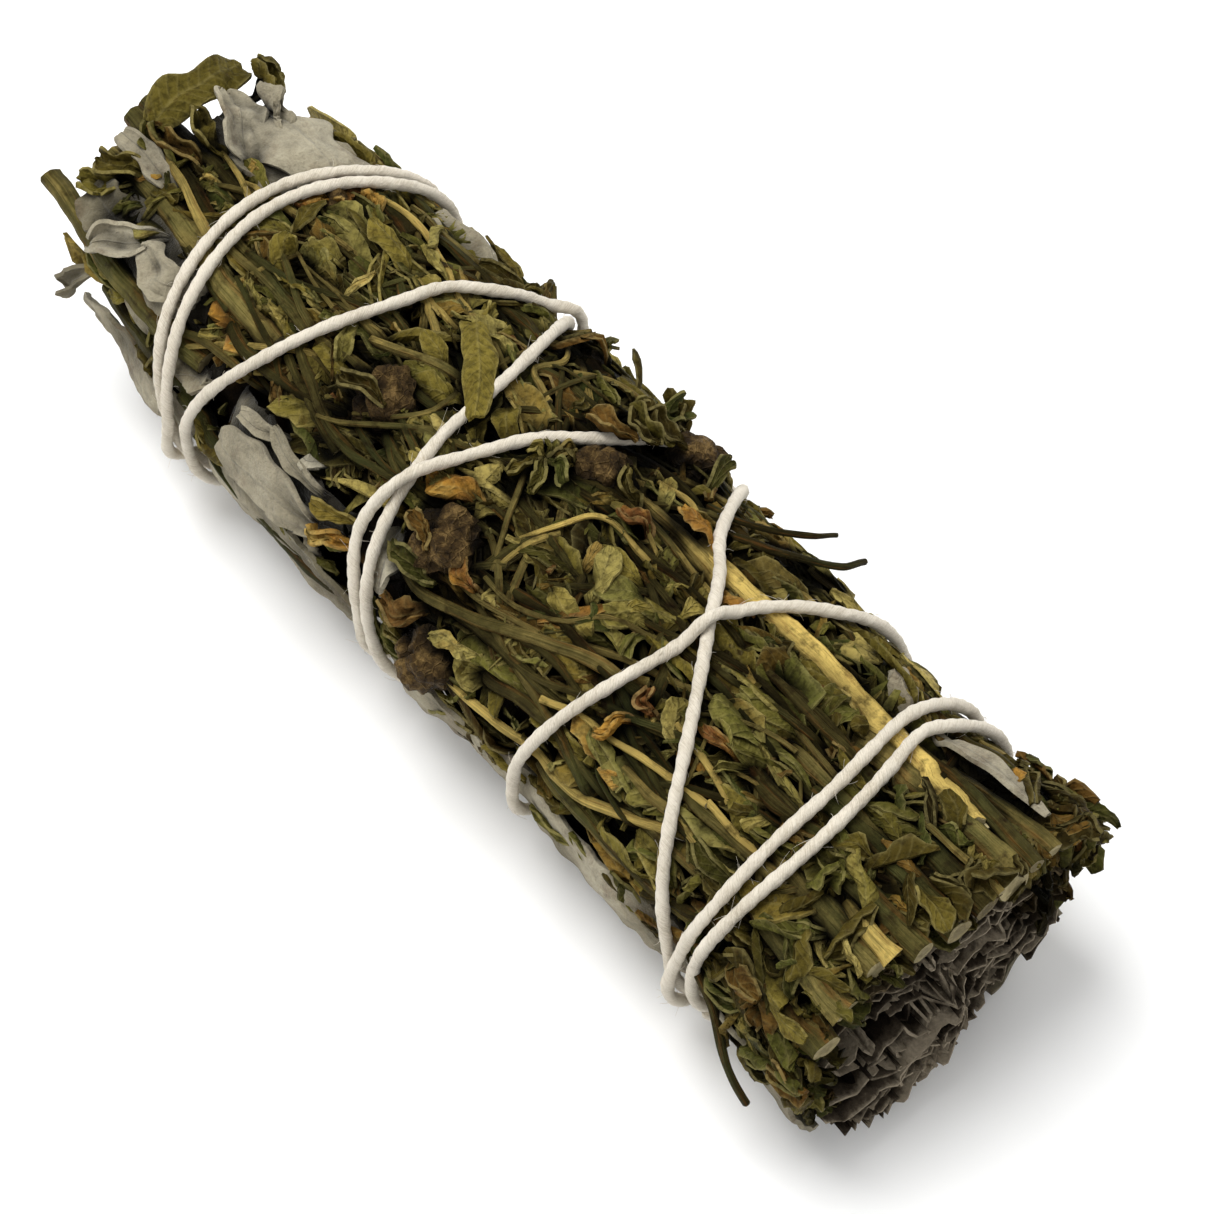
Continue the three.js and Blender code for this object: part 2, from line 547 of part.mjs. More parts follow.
const PACKED = { cutFace: 48.2, leafyFace: -45, baseDepth: 4, sides: 20, steps: 6 };
const SPIRAL = { steps: 30, turns: 2.4, inward: 0.72, wall: 0.7, lowerReach: 1.8 };
// They lie deeper under the rue sprays than they do under the leaves of the underside.
function packedRadius(x, deg) {
  const turned = (((deg - (SPRAY_FIRST_DEG + SPRAY_LAST_DEG) / 2) % 360) + 360) % 360;
  const fromTop = Math.min(turned, 360 - turned);
  const underSprays = 1 - smoothstep(fromTop, 99, 111);
  return bareRadius(x, deg) - PACKED.baseDepth - (SPRAY_DEPTH + GAP - PACKED.baseDepth) * underSprays;
}

// The edges of the crumpled leaves at an end of the bunch: a wavy wall that winds inwards.
function crumpledEdge(random, face, outwards) {
  const phase = random(0, 6);
  const rings = Array.from({ length: SPIRAL.steps + 1 }, (_, i) => {
    const u = i / SPIRAL.steps;
    const deg = phase * 60 + 360 * SPIRAL.turns * u;
    const radius = packedRadius(face, deg) * (0.93 - SPIRAL.inward * u) + 0.8 * Math.sin(phase + i * 2.2);
    const lower = SPIRAL.lowerReach * smoothstep(-Math.sin(radians(deg)), -0.1, 0.6);
    const stand = face + outwards * (1.6 + lower + 0.9 * Math.sin(phase + i * 2.6));
    const half = SPIRAL.wall / 2;
    const foot = face - outwards * 1.5;
    return [
      onAxis(foot, deg, radius - half),
      onAxis(stand, deg, radius - half),
      onAxis(stand, deg, radius + half),
      onAxis(foot, deg, radius + half),
    ];
  });
  return solid(loft(rings));
}

function packedLeaves() {
  const random = seeded(77);
  const rings = Array.from({ length: PACKED.steps + 1 }, (_, i) => {
    const x = PACKED.leafyFace + ((PACKED.cutFace - PACKED.leafyFace) * i) / PACKED.steps;
    return Array.from({ length: PACKED.sides }, (_, k) => {
      const deg = (k * 360) / PACKED.sides;
      return onAxis(x, deg, packedRadius(x, deg));
    });
  });
  return joined([
    solid(loft(rings)),
    crumpledEdge(random, PACKED.cutFace, 1),
    crumpledEdge(random, PACKED.leafyFace, -1),
  ]);
}

// ---- The bunch ----

const string = joined([wound(STRING_DIAMETER / 2), knot(0)]);
const stringRoom = joined([wound(STRING_DIAMETER / 2 + GAP), knot(GAP)]);
const topSage = SAGE_LEAVES_ON_TOP.map((one) => ({ ...one, made: sageLeaf(one), room: sageLeaf(one, GAP) }));
const topRoom = joined(topSage.map((one) => one.room));
const lowRoom = joined([stringRoom, topRoom, strawStem(GAP)]);

const bunch = new THREE.Group();
bunch.add(mesh("cotton_string", string, COLOURS.string));
topSage.forEach((one) => bunch.add(mesh(one.name, one.made.subtract(stringRoom), COLOURS.sage)));
bunch.add(mesh("straw_stem", strawStem().subtract(joined([stringRoom, topRoom])), COLOURS.straw));
for (let i = 0; i < SPRAY_COUNT; i += 1) {
  bunch.add(mesh(`rue_spray_${i + 1}`, spray(i).subtract(lowRoom), COLOURS.rue));
}
SAGE_LEAVES.forEach((one) => {
  bunch.add(mesh(one.name, sageLeaf(one).subtract(joined([stringRoom, topRoom])), COLOURS.sage));
});
bunch.add(mesh("packed_sage_leaves", packedLeaves(), COLOURS.packed));
bunch.position.set(-MIDDLE.x, -MIDDLE.y, 0);

const part = new THREE.Group();
part.add(bunch);

export default part;
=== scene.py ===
# A tied bunch of dried rue and white sage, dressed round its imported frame.
# Lengths are millimetres and angles degrees until a mesh is made, which is in metres.
import math
import bpy
import numpy as np
from mathutils import Matrix, Vector


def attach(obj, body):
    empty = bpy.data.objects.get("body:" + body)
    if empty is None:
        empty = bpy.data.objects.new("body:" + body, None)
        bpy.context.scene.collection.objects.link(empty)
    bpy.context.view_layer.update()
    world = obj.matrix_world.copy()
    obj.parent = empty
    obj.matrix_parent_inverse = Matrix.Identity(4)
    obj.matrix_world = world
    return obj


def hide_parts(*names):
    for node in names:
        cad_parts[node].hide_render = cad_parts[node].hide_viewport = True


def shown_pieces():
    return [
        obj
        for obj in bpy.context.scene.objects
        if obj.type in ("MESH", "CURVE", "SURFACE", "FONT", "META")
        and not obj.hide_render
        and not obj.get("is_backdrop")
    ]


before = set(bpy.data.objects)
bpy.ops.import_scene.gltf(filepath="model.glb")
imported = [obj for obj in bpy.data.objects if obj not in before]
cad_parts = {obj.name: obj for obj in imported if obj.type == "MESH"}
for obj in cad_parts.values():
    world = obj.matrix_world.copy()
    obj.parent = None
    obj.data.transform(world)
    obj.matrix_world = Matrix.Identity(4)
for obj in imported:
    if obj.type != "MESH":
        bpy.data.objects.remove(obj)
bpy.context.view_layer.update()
print("frame loaded with", len(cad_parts), "nodes")

mm = 0.001
tau = 2 * math.pi

# ---- the shape that everything lies on ----

bunch = {
    "halfWidth": 16.6, "halfHeight": 13.2, "squareness": 2.4,  # 2 would be an ellipse
    "centreHeight": 13.75,
    "flare": 0.06,  # share by which the cut end is wider
    "taper": 0.13,  # share by which the leafy end is slimmer
    "middle": (-3.2, -0.2),  # of the frame's origin, from the bunch's own axis
    "furrowDepth": 0.9, "furrowHalfWidth": 2.6,  # where the string pulls the herbs in
    "cutEnd": 50.0, "leafyEnd": -49.0,
    "meanRadius": 14.5,  # that turns a length round the bunch into an angle
}

stringShape = {
    "diameter": 1.3, "knotDeg": 212.0, "step": 0.42, "sides": 16,
    "seatHalfWidth": 0.9,  # of the strip that it presses flat
    "humpHalfWidth": 2.86,  # where one turn passes over another
    "liftEvery": 3, "liftReach": 45,  # degrees between places where it is lifted, and how far a lift reaches
    "plyRadius": 0.5, "plyOffset": 0.08, "plyTurn": 2.7,  # length of one whole turn of the two plies
    "fuzz": 680, "fuzzRadius": 0.022, "fuzzLength": (0.5, 1.9),
}

# How far along the string's turns are, at each angle turned from the knot.
stringRoute = np.array([
    (36.2, 0), (35.6, 22), (34.6, 40), (32, 59), (28, 82), (23, 108), (19.3, 127), (16, 144), (12.5, 157),
    (7.5, 192), (4, 232), (1.5, 272), (-0.5, 312), (-2.5, 352), (-4.5, 392),
    (-5.2, 406), (-6.6, 424), (-8.2, 445), (-9.6, 467), (-10.2, 487), (-11.2, 507), (-13.2, 528),
    (-17.5, 562), (-22.5, 602), (-27, 642), (-30.5, 682), (-33, 722),
    (-34.6, 752), (-36.2, 772), (-38.2, 792), (-39.8, 812), (-40.6, 832), (-40.4, 852), (-39, 872),
    (-37, 892), (-35.6, 922), (-35.2, 962), (-35.4, 1002), (-35.6, 1042), (-35, 1082),
    (-33.4, 1112), (-34.4, 1132), (-36.3, 1152), (-37.9, 1172), (-38.8, 1192), (-38.6, 1212),
    (-37.2, 1232), (-35, 1252), (-33.6, 1282), (-33.2, 1322), (-33.2, 1362), (-33, 1402), (-32, 1442),
    (-31.8, 1472), (-30.2, 1492), (-27, 1519), (-24.8, 1546), (-23, 1572), (-22, 1590), (-19.5, 1606),
    (-15.5, 1642), (-12, 1682), (-9.5, 1722), (-7.5, 1762), (-6.5, 1802),
    (-6, 1832), (-7, 1849), (-8.8, 1866), (-8.4, 1882), (-7.4, 1897), (-6, 1912), (-4, 1932), (-0.5, 1952),
    (1.5, 1970), (3.5, 2002), (7, 2042), (9.5, 2082), (12, 2122), (14, 2162),
    (15, 2192), (15.3, 2207), (16.6, 2227), (18, 2247), (19, 2267), (19.3, 2287), (20, 2302), (22, 2317),
    (24.5, 2332), (27.5, 2362), (30.5, 2402), (33, 2442), (35, 2482), (36, 2522),
    (36.3, 2552), (36.6, 2567), (37.2, 2587), (37.2, 2612), (36.9, 2637), (36.2, 2657), (35.4, 2677),
    (35.6, 2692), (37, 2722), (38, 2762), (38.5, 2802), (38.4, 2842), (38, 2882),
    (38, 2912), (38.2, 2927), (39, 2947), (39.6, 2972), (39.2, 2997), (38.4, 3017), (37.3, 3037),
    (38.2, 3052), (40, 3082), (40.6, 3122), (40.4, 3162), (39.6, 3202), (37.8, 3240),
])


def smoothstep(value, low, high):
    # three t squared less two t cubed, where t goes from 0 at low to 1 at high
    t = np.clip((value - low) / (high - low), 0, 1)
    return t * t * (3 - 2 * t)


def through(place, values, at):
    # a cubic through points, whose slope at each is that between its two neighbours
    last = len(place) - 1
    before, after = np.clip(np.arange(-1, last), 0, None), np.clip(np.arange(1, last + 2), None, last)
    slope = (values[after] - values[before]) / (place[after] - place[before])[:, None]
    i = np.clip(np.searchsorted(place, at, side="left"), 1, last)
    span = (place[i] - place[i - 1])[:, None]
    u = (at - place[i - 1])[:, None] / span
    return (
        (2 * u**3 - 3 * u**2 + 1) * values[i - 1] + (u**3 - 2 * u**2 + u) * slope[i - 1] * span
        + (3 * u**2 - 2 * u**3) * values[i] + (u**3 - u**2) * slope[i] * span
    )


def stringX(turned):
    # how far along the string is after this many degrees from the knot: the cubic through its route
    return through(stringRoute[:, 1], stringRoute[:, :1], turned)[:, 0]


turnedInAll = stringRoute[-1, 1]
turnedFine = np.arange(0, turnedInAll + 1)
stringFine = stringX(turnedFine)


def bareRadius(x, deg):
    # a superellipse in polar form, times the girth at that place along the bunch
    girth = 1 + bunch["flare"] * smoothstep(x, 38, 50) - bunch["taper"] * (1 - smoothstep(x, -54, -34))
    across = np.abs(np.cos(np.radians(deg))) / bunch["halfWidth"]
    up = np.abs(np.sin(np.radians(deg))) / bunch["halfHeight"]
    power = bunch["squareness"]
    return girth * (across**power + up**power) ** (-1 / power)


def stringDistance(x, deg):
    # the nearest that any turn of the string comes, along the bunch, at this angle
    first = (stringShape["knotDeg"] - deg) % 360
    nearest = np.full(np.broadcast(x, deg).shape, 1e3)
    for turn in range(int(turnedInAll // 360) + 1):
        turned = first + 360 * turn
        gap = np.abs(x - np.interp(turned, turnedFine, stringFine))
        nearest = np.where(turned <= turnedInAll, np.minimum(nearest, gap), nearest)
    return nearest


def surfaceRadius(x, deg):
    # the bare radius less a bell-shaped furrow under each turn of the string
    near = stringDistance(x, deg) / bunch["furrowHalfWidth"]
    return bareRadius(x, deg) - bunch["furrowDepth"] * np.exp(-(near**2))


def onAxis(x, deg, radius):
    # cylinder coordinates round the bunch's own axis, as points in the frame
    x, deg, radius = np.broadcast_arrays(x, deg, radius)
    turn = np.radians(deg)
    return np.stack([
        x - bunch["middle"][0],
        radius * np.cos(turn) - bunch["middle"][1],
        bunch["centreHeight"] + radius * np.sin(turn),
    ], axis=-1)


def unrolled(points):
    # own-axis coordinates of points in the frame: along, angle, height over the bunch's bare surface
    x = points[:, 0] + bunch["middle"][0]
    y = points[:, 1] + bunch["middle"][1]
    z = points[:, 2] - bunch["centreHeight"]
    deg = np.degrees(np.arctan2(z, y))
    return x, deg, np.hypot(y, z) - bareRadius(x, deg)


unrolledMap = {"from": -64.0, "step": 0.4, "cells": 320, "round": 240}  # the surface as a grid of cells


def cellOf(x, deg):
    # row and column of a place on the map: its distance along in steps, and its share of the way round
    i = (x - unrolledMap["from"]) / unrolledMap["step"]
    return np.clip(i, 0, unrolledMap["cells"] - 1.001), (deg / 360 * unrolledMap["round"]) % unrolledMap["round"]


def onMap(grid, x, deg):
    # the map's value at any place, blended from the four cells round it
    i, j = cellOf(x, deg)
    low, left = np.floor(i).astype(int), np.floor(j).astype(int)
    a, b = i - low, j - left
    right, left = (left + 1) % unrolledMap["round"], left % unrolledMap["round"]
    return (
        grid[low, left] * (1 - a) * (1 - b) + grid[low + 1, left] * a * (1 - b)
        + grid[low, right] * (1 - a) * b + grid[low + 1, right] * a * b
    )


def outwardAt(deg):
    # the direction away from the axis at this angle: nothing along, its cosine across, its sine up
    turn = np.radians(deg)
    return np.stack([np.zeros_like(turn), np.cos(turn), np.sin(turn)], axis=-1)


def pressed(x, deg, radius, room=0.0, slope=1.1):
    # nothing stands higher than the underside of the string, or a slope away from it
    away = np.clip(stringDistance(x, deg) - stringShape["seatHalfWidth"], 0, None)
    return np.minimum(radius, bareRadius(x, deg) - bunch["furrowDepth"] - room + away * slope)


def wobble(points, size, seed):
    # a sum of five sine waves in random directions, from about -1 to 1, with humps of the given size
    draw = np.random.default_rng(seed)
    total = 0
    for _ in range(5):
        way = draw.normal(size=points.shape[-1])
        way *= draw.uniform(0.7, 1.4) * math.pi / (size * np.linalg.norm(way))
        total = total + np.sin(points @ way + draw.uniform(0, tau))
    return total / 3


# ---- turning arrays of points into closed meshes ----

def part(verts, quads, tris, tone, grain, cut=None):
    # one closed mesh: its points, its faces of four and of three corners, and three numbers kept on each point
    count = len(verts)
    return {
        "verts": verts, "quads": quads.reshape(-1, 4), "tris": tris.reshape(-1, 3),
        "tone": np.broadcast_to(tone, (count,)), "grain": np.broadcast_to(grain, (count, 3)),
        "cut": np.zeros(count) if cut is None else np.broadcast_to(cut, (count,)),
    }


def signedVolume(points, quads, tris):
    # six times the volume, as the sum over each face's triangles of a . (b x c)
    faces = np.concatenate([quads[:, [0, 1, 2]], quads[:, [0, 2, 3]], tris])
    a, b, c = (points[faces[:, k]] for k in range(3))
    return np.einsum("ij,ij->i", a, np.cross(b, c)).sum()


def facingOut(points, quads, tris):
    # the same faces, each turned over when the volume they enclose comes out below zero
    if signedVolume(points, quads, tris) < 0:
        return quads[:, ::-1], tris[:, ::-1]
    return quads, tris


def shells(top, thickness, tone, grain):
    # n sheets of rows by columns points, each closed by a copy pushed in along its normals and a rim
    n, rows, cols, _ = top.shape
    normal = np.cross(np.gradient(top, axis=1), np.gradient(top, axis=2))
    normal /= np.linalg.norm(normal, axis=-1, keepdims=True) + 1e-9
    thick = np.asarray(thickness, float).reshape((-1, 1, 1, 1)) * np.ones((n, rows, cols, 1))
    verts = np.concatenate([top.reshape(n, -1, 3), (top - normal * thick).reshape(n, -1, 3)], axis=1)
    spot = np.arange(rows * cols).reshape(rows, cols)
    face = np.stack([spot[:-1, :-1], spot[1:, :-1], spot[1:, 1:], spot[:-1, 1:]], -1).reshape(-1, 4)
    edge = np.r_[spot[:-1, 0], spot[-1, :-1], spot[:0:-1, -1], spot[0, :0:-1]]
    after = np.roll(edge, -1)
    below = rows * cols
    rim = np.stack([after, edge, edge + below, after + below], -1)
    quads = np.concatenate([face, face[:, ::-1] + below, rim])
    quads, _ = facingOut(verts[0], quads, np.zeros((0, 3), int))
    quads = quads[None] + (np.arange(n) * 2 * below)[:, None, None]
    both = lambda values, width: np.concatenate([values.reshape(n, -1, width)] * 2, axis=1).reshape(-1, width)
    toned = both(np.broadcast_to(tone, (n, rows, cols)), 1)[:, 0]
    return part(verts.reshape(-1, 3), quads, np.zeros((0, 3), int), toned, both(grain, 3))


def closedRings(rings, start, end, tone, grain, cut=None):
    # n surfaces of rings round a line, each joined to the next and shut at both ends by a fan to a point
    n, count, sides, _ = rings.shape
    verts = np.concatenate([rings.reshape(n, -1, 3), start[:, None], end[:, None]], axis=1)
    spot = np.arange(count * sides).reshape(count, sides)
    nextSide = np.roll(spot, -1, axis=1)
    quads = np.stack([spot[:-1], spot[1:], nextSide[1:], nextSide[:-1]], -1).reshape(-1, 4)
    first, last = count * sides, count * sides + 1
    tris = np.concatenate([
        np.stack([np.full(sides, first), spot[0], nextSide[0]], -1),
        np.stack([np.full(sides, last), nextSide[-1], spot[-1]], -1),
    ])
    quads, tris = facingOut(verts[0], quads, tris)
    offset = (np.arange(n) * (last + 1))[:, None, None]

    def everywhere(values, width):
        # values on the rings' points, then for each end's own point the mean of its ring
        values = np.broadcast_to(values, (n, count, sides, width)).reshape(n, -1, width)
        ends = np.stack([values[:, :sides].mean(1), values[:, -sides:].mean(1)], 1)
        return np.concatenate([values, ends], axis=1).reshape(-1, width)

    toned = everywhere(np.asarray(tone, float)[..., None], 1)[:, 0]
    marked = None
    if cut is not None:
        marked = everywhere(np.asarray(cut, float)[..., None], 1).reshape(n, -1)
        marked[:, -2:] = np.where(marked[:, -2:] > 1, 2, 0)
        marked = marked.reshape(-1)
    return part(verts.reshape(-1, 3), quads[None] + offset, tris[None] + offset, toned, everywhere(grain, 3), marked)


def tubes(centres, outward, radius, sides, tone, profile=1.0, cutStart=False, cutEnd=False):
    # n rods: circles of a given radius, times a profile, round lines of centres, with flat cut ends
    n, count, _ = centres.shape
    along = np.gradient(centres, axis=1)
    along /= np.linalg.norm(along, axis=-1, keepdims=True)
    side = np.cross(along, outward)
    side /= np.linalg.norm(side, axis=-1, keepdims=True)
    up = np.cross(side, along)
    turn = np.arange(sides) / sides * tau
    radius = np.broadcast_to(radius, (n, count))[..., None] * np.broadcast_to(profile, (n, count, sides))
    spoke = np.cos(turn)[:, None] * side[:, :, None] + np.sin(turn)[:, None] * up[:, :, None]
    rings = centres[:, :, None] + radius[..., None] * spoke
    reach = np.r_[0, 0, np.linalg.norm(np.diff(centres, axis=1), axis=-1).mean(0).cumsum()]
    grain = np.stack(np.broadcast_arrays(reach[1:, None], np.cos(turn), np.sin(turn)), -1)[None]
    grain = grain * np.ones((n, 1, 1, 1))
    inset = [0.5, 0.93]  # of the two rings that flatten each end
    heads = [centres[:, :1, None] + (rings[:, :1] - centres[:, :1, None]) * k for k in inset]
    tails = [centres[:, -1:, None] + (rings[:, -1:] - centres[:, -1:, None]) * k for k in inset[::-1]]
    rings = np.concatenate([*heads, rings, *tails], axis=1)
    grain = np.concatenate([grain[:, :1]] * 2 + [grain] + [grain[:, -1:]] * 2, axis=1)
    cut = np.zeros((n, count + 4, sides))  # over 1 on a cut end
    if cutStart:
        cut[:, 0], cut[:, 1] = 1.5, 1.07
    if cutEnd:
        cut[:, -1], cut[:, -2] = 1.5, 1.07
    tone = np.broadcast_to(np.reshape(tone, (-1, 1, 1)), (n, count + 4, sides))
    return closedRings(rings, centres[:, 0], centres[:, -1], tone, grain, cut)


dressed = []  # every piece made
clearance = 0.00002  # in metres: nothing goes through the surface that the bunch lies on


def newPiece(name, parts, material, replaced=(), sharp=50):
    # one mesh object, in metres, riding on the part, with the numbers its material reads kept on its points
    counts = np.cumsum([0] + [len(p["verts"]) for p in parts])
    verts = np.concatenate([p["verts"] for p in parts]) * mm
    verts[:, 2] = np.maximum(verts[:, 2], clearance)
    quads = np.concatenate([p["quads"] + c for p, c in zip(parts, counts)])
    tris = np.concatenate([p["tris"] + c for p, c in zip(parts, counts)])
    mesh = bpy.data.meshes.new(name)
    mesh.vertices.add(len(verts))
    mesh.vertices.foreach_set("co", verts.ravel())
    mesh.loops.add(quads.size + tris.size)
    mesh.loops.foreach_set("vertex_index", np.r_[quads.ravel(), tris.ravel()])
    mesh.polygons.add(len(quads) + len(tris))
    starts = np.r_[np.arange(len(quads)) * 4, quads.size + np.arange(len(tris)) * 3]
    mesh.polygons.foreach_set("loop_start", starts)
    mesh.update(calc_edges=True)
    mesh.validate()
    kinds = {"tone": ("FLOAT", "value"), "cut": ("FLOAT", "value"), "grain": ("FLOAT_VECTOR", "vector")}
    for key, (kind, field) in kinds.items():
        values = np.concatenate([p[key] for p in parts])
        mesh.attributes.new(key, kind, "POINT").data.foreach_set(field, values.astype(np.float32).ravel())
    mesh.shade_smooth()
    mesh.set_sharp_from_angle(angle=math.radians(sharp))
    mesh.materials.append(material)
    piece = bpy.data.objects.new(name, mesh)
    bpy.context.collection.objects.link(piece)
    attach(piece, "root")
    if replaced:
        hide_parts(*replaced)
    dressed.append(piece)


# ---- finishes ----

def colour(red, green, blue):
    # an 8-bit screen colour as linear light: a power of 2.4, but a straight line near black
    def linear(value):
        value /= 255
        return value / 12.92 if value <= 0.04045 else ((value + 0.055) / 1.055) ** 2.4
    return (linear(red), linear(green), linear(blue), 1.0)


def addSource(tree, kind, **settings):
    # a shader node that nothing feeds
    made = tree.nodes.new("ShaderNode" + kind)
    for key, value in settings.items():
        setattr(made, key, value)
    return made


def addNode(kind, wires, **settings):
    # one shader node, in the tree of what feeds it: each socket gets another node's output or a fixed value
    tree = next(value.id_data for value in wires.values() if isinstance(value, bpy.types.NodeSocket))
    made = addSource(tree, kind, **settings)
    for key, value in wires.items():
        if isinstance(value, bpy.types.NodeSocket):
            tree.links.new(value, made.inputs[key])
        else:
            made.inputs[key].default_value = value
    return made


def feed(shader, name, value):
    # one of the shader's sockets takes a node's output
    value.id_data.links.new(value, shader.inputs[name])


def ownNumber(tree, key):
    # what a piece's points hold under this key
    return addSource(tree, "Attribute", attribute_name=key).outputs


def calc(how, a, b=0.0, c=0.0, clamp=False):
    # one step of arithmetic, such as a times b, or a times b plus c, kept from 0 to 1 if clamped
    return addNode("Math", {0: a, 1: b, 2: c}, operation=how, use_clamp=clamp).outputs[0]


def times(a, b, clamp=False):
    # a times b
    return calc("MULTIPLY", a, b, clamp=clamp)


def plus(a, share, b):
    # a times its share, plus b
    return calc("MULTIPLY_ADD", a, share, b)


def above(value, start, gain):
    # nothing up to a start, then the rest times a gain, and never more than 1
    return times(calc("SUBTRACT", value, start, clamp=True), gain, clamp=True)


def beneath(value, start, gain):
    # the same the other way: the start less the value, times a gain, from 0 to 1
    return times(calc("SUBTRACT", start, value, clamp=True), gain, clamp=True)


def ridge(value, steepness):
    # 1 where the value is 0, falling to 0 in a straight line
    return calc("SUBTRACT", 1.0, times(value, steepness), clamp=True)


def mixed(share, a, b, how="MIX"):
    # colour a changed to colour b by a share, or a multiplied by b by that share
    wires = {0: share, 6: a, 7: b}
    return addNode("Mix", wires, data_type="RGBA", blend_type=how).outputs[2]


def ramp(value, stops):
    # a value as a colour: the stops hold colours at places from 0 to 1, with even blends between them
    made = addNode("ValToRGB", {0: value})
    band = made.color_ramp
    while len(band.elements) < len(stops):
        band.elements.new(0.5)
    for element, (place, shade) in zip(band.elements, stops):
        element.position = place
        element.color = shade
    return made.outputs[0]


def noise(vector, scale, detail=4.0, rough=0.6, stretch=None):
    # cloudy values round a half; the scale is in humps per metre of place, and stretch multiplies each axis
    if stretch:
        vector = addNode("VectorMath", {0: vector, 1: stretch}, operation="MULTIPLY").outputs[0]
    wires = {"Vector": vector, "Scale": scale, "Detail": detail, "Roughness": rough}
    return addNode("TexNoise", wires).outputs[0]


def newFinish(name, look):
    # an empty material, with what the finishes read: the place in metres, the piece's own tone and grain
    material = bpy.data.materials.new(name)
    material.use_nodes = True
    tree = material.node_tree
    shader = tree.nodes["Principled BSDF"]
    shader.inputs["Roughness"].default_value = look["roughness"]
    shader.inputs["Specular IOR Level"].default_value = look["specular"]
    place = addSource(tree, "TexCoord").outputs["Object"]
    tone, grain = ownNumber(tree, "tone")["Fac"], ownNumber(tree, "grain")["Vector"]
    return material, shader, place, tone, grain


def addSheen(shader, weight, roughness):
    # soft light from fibres that stand off the surface
    shader.inputs["Sheen Weight"].default_value = weight
    shader.inputs["Sheen Roughness"].default_value = roughness


def inShade(base, least):
    # what lies lower than its surroundings is darker: full light from 0.35 mm over them, the least 1 mm under
    deep = ownNumber(base.id_data, "deep")["Fac"]
    wires = {0: deep, 1: -0.35, 2: 1.0, 3: 1.0, 4: least}
    light = addNode("MapRange", wires, interpolation_type="SMOOTHSTEP").outputs[0]
    grey = addNode("CombineColor", {0: light, 1: light, 2: light}).outputs[0]
    return mixed(1.0, base, grey, "MULTIPLY")


def greys(*stops):
    # stops for a ramp from places and their greys
    return [(place, (grey, grey, grey, 1)) for place, grey in stops]


def setBump(shader, height, look):
    # the shader's normal tilted by the slope of a height, whose full range is the depth in metres
    strength, depth = look["bump"]
    bump = addNode("Bump", {"Height": height, "Strength": strength, "Distance": depth})
    feed(shader, "Normal", bump.outputs[0])


# In each look, the offset is taken off the tone, so a larger one is darker; the bump is its strength and its
# depth in metres; the deepest is the share of light that reaches the gaps.
rueLook = {
    "shades": [
        (0.0, colour(32, 25, 6)), (0.22, colour(56, 46, 14)), (0.44, colour(84, 73, 27)),
        (0.66, colour(126, 112, 48)), (0.84, colour(184, 165, 94)), (0.93, colour(172, 126, 52)),
        (1.0, colour(116, 76, 40)),
    ],
    "green": colour(74, 84, 38), "tan": colour(128, 92, 42), "brown": colour(58, 40, 18),
    # the rib colour also serves the painted highlight along the margins
    "rib": colour(186, 172, 112),
    "offset": 0.183, "roughness": 0.6, "specular": 0.04, "bump": (0.9, 0.0005), "deepest": 0.03,
}


def rueFinish():
    # tone, patches and a number of each leaf's own give its shade; some leaves are greener or more tan; ribs and
    # veins are paler, margins take a painted highlight, spots are brown, small wrinkles get painted shade
    material, shader, place, tone, grain = newFinish("dried_rue_leaf", rueLook)
    patches = noise(place, 260, 4, 0.6)
    parts = addNode("SeparateXYZ", {0: grain})
    own = calc("FRACT", times(parts.outputs[2], 0.37))
    shade = plus(patches, 0.34, tone)
    shade = plus(own, 0.16, shade)
    base = ramp(calc("SUBTRACT", shade, rueLook["offset"]), rueLook["shades"])
    base = mixed(above(own, 0.5, 1.3), base, rueLook["green"])
    base = mixed(beneath(own, 0.16, 4.0), base, rueLook["tan"])
    across = calc("ABSOLUTE", parts.outputs[1])
    rib = ridge(across, 8.0)
    slanted = plus(across, -1.6, parts.outputs[0])
    veinPlace = addNode("CombineXYZ", {0: slanted, 1: parts.outputs[2]}).outputs[0]
    veins = addNode("TexWave", {"Vector": veinPlace, "Scale": 0.3, "Distortion": 2.4, "Detail": 3.0})
    veinLine = calc("POWER", veins.outputs["Fac"], 5.0)
    base = mixed(times(rib, 0.16), base, rueLook["rib"])
    base = mixed(times(veinLine, 0.07), base, rueLook["rib"])
    blotch = noise(place, 900, 5, 0.7)
    base = mixed(above(blotch, 0.55, 4.0), base, rueLook["brown"])
    # the margins paler: a painted highlight along each leaf's edge
    base = mixed(times(calc("POWER", across, 10.0), 0.26), base, rueLook["rib"])
    bent = mixed(0.0006, place, addNode("TexNoise", {"Vector": place, "Scale": 700.0}).outputs[1])
    cells = addNode("TexVoronoi", {"Vector": bent, "Scale": 1300.0}).outputs["Distance"]
    wrinkles = plus(cells, -0.22, noise(place, 1500, 6, 0.65))
    # the wrinkles' hollows are darkened: painted shade in the creases
    creased = ramp(wrinkles, greys((0.26, 0.3), (0.4, 0.85), (0.5, 1.0)))
    base = mixed(0.68, base, creased, "MULTIPLY")
    feed(shader, "Base Color", inShade(base, rueLook["deepest"]))
    height = plus(rib, 0.35, times(wrinkles, 1.1))
    height = plus(veinLine, 0.25, height)
    setBump(shader, height, rueLook)
    return material


stemLook = {
    "shades": [
        (0.0, colour(31, 26, 10)), (0.25, colour(61, 53, 25)), (0.48, colour(94, 85, 45)),
        (0.72, colour(152, 134, 76)), (1.0, colour(240, 208, 116)),
    ],
    "bark": colour(44, 31, 15), "rust": colour(132, 84, 38), "green": colour(92, 98, 54),
    "wood": colour(160, 142, 98), "pith": colour(226, 212, 164),
    "offset": 0.71, "roughness": 0.55, "specular": 0.05, "bump": (0.95, 0.0006), "deepest": 0.04,
}


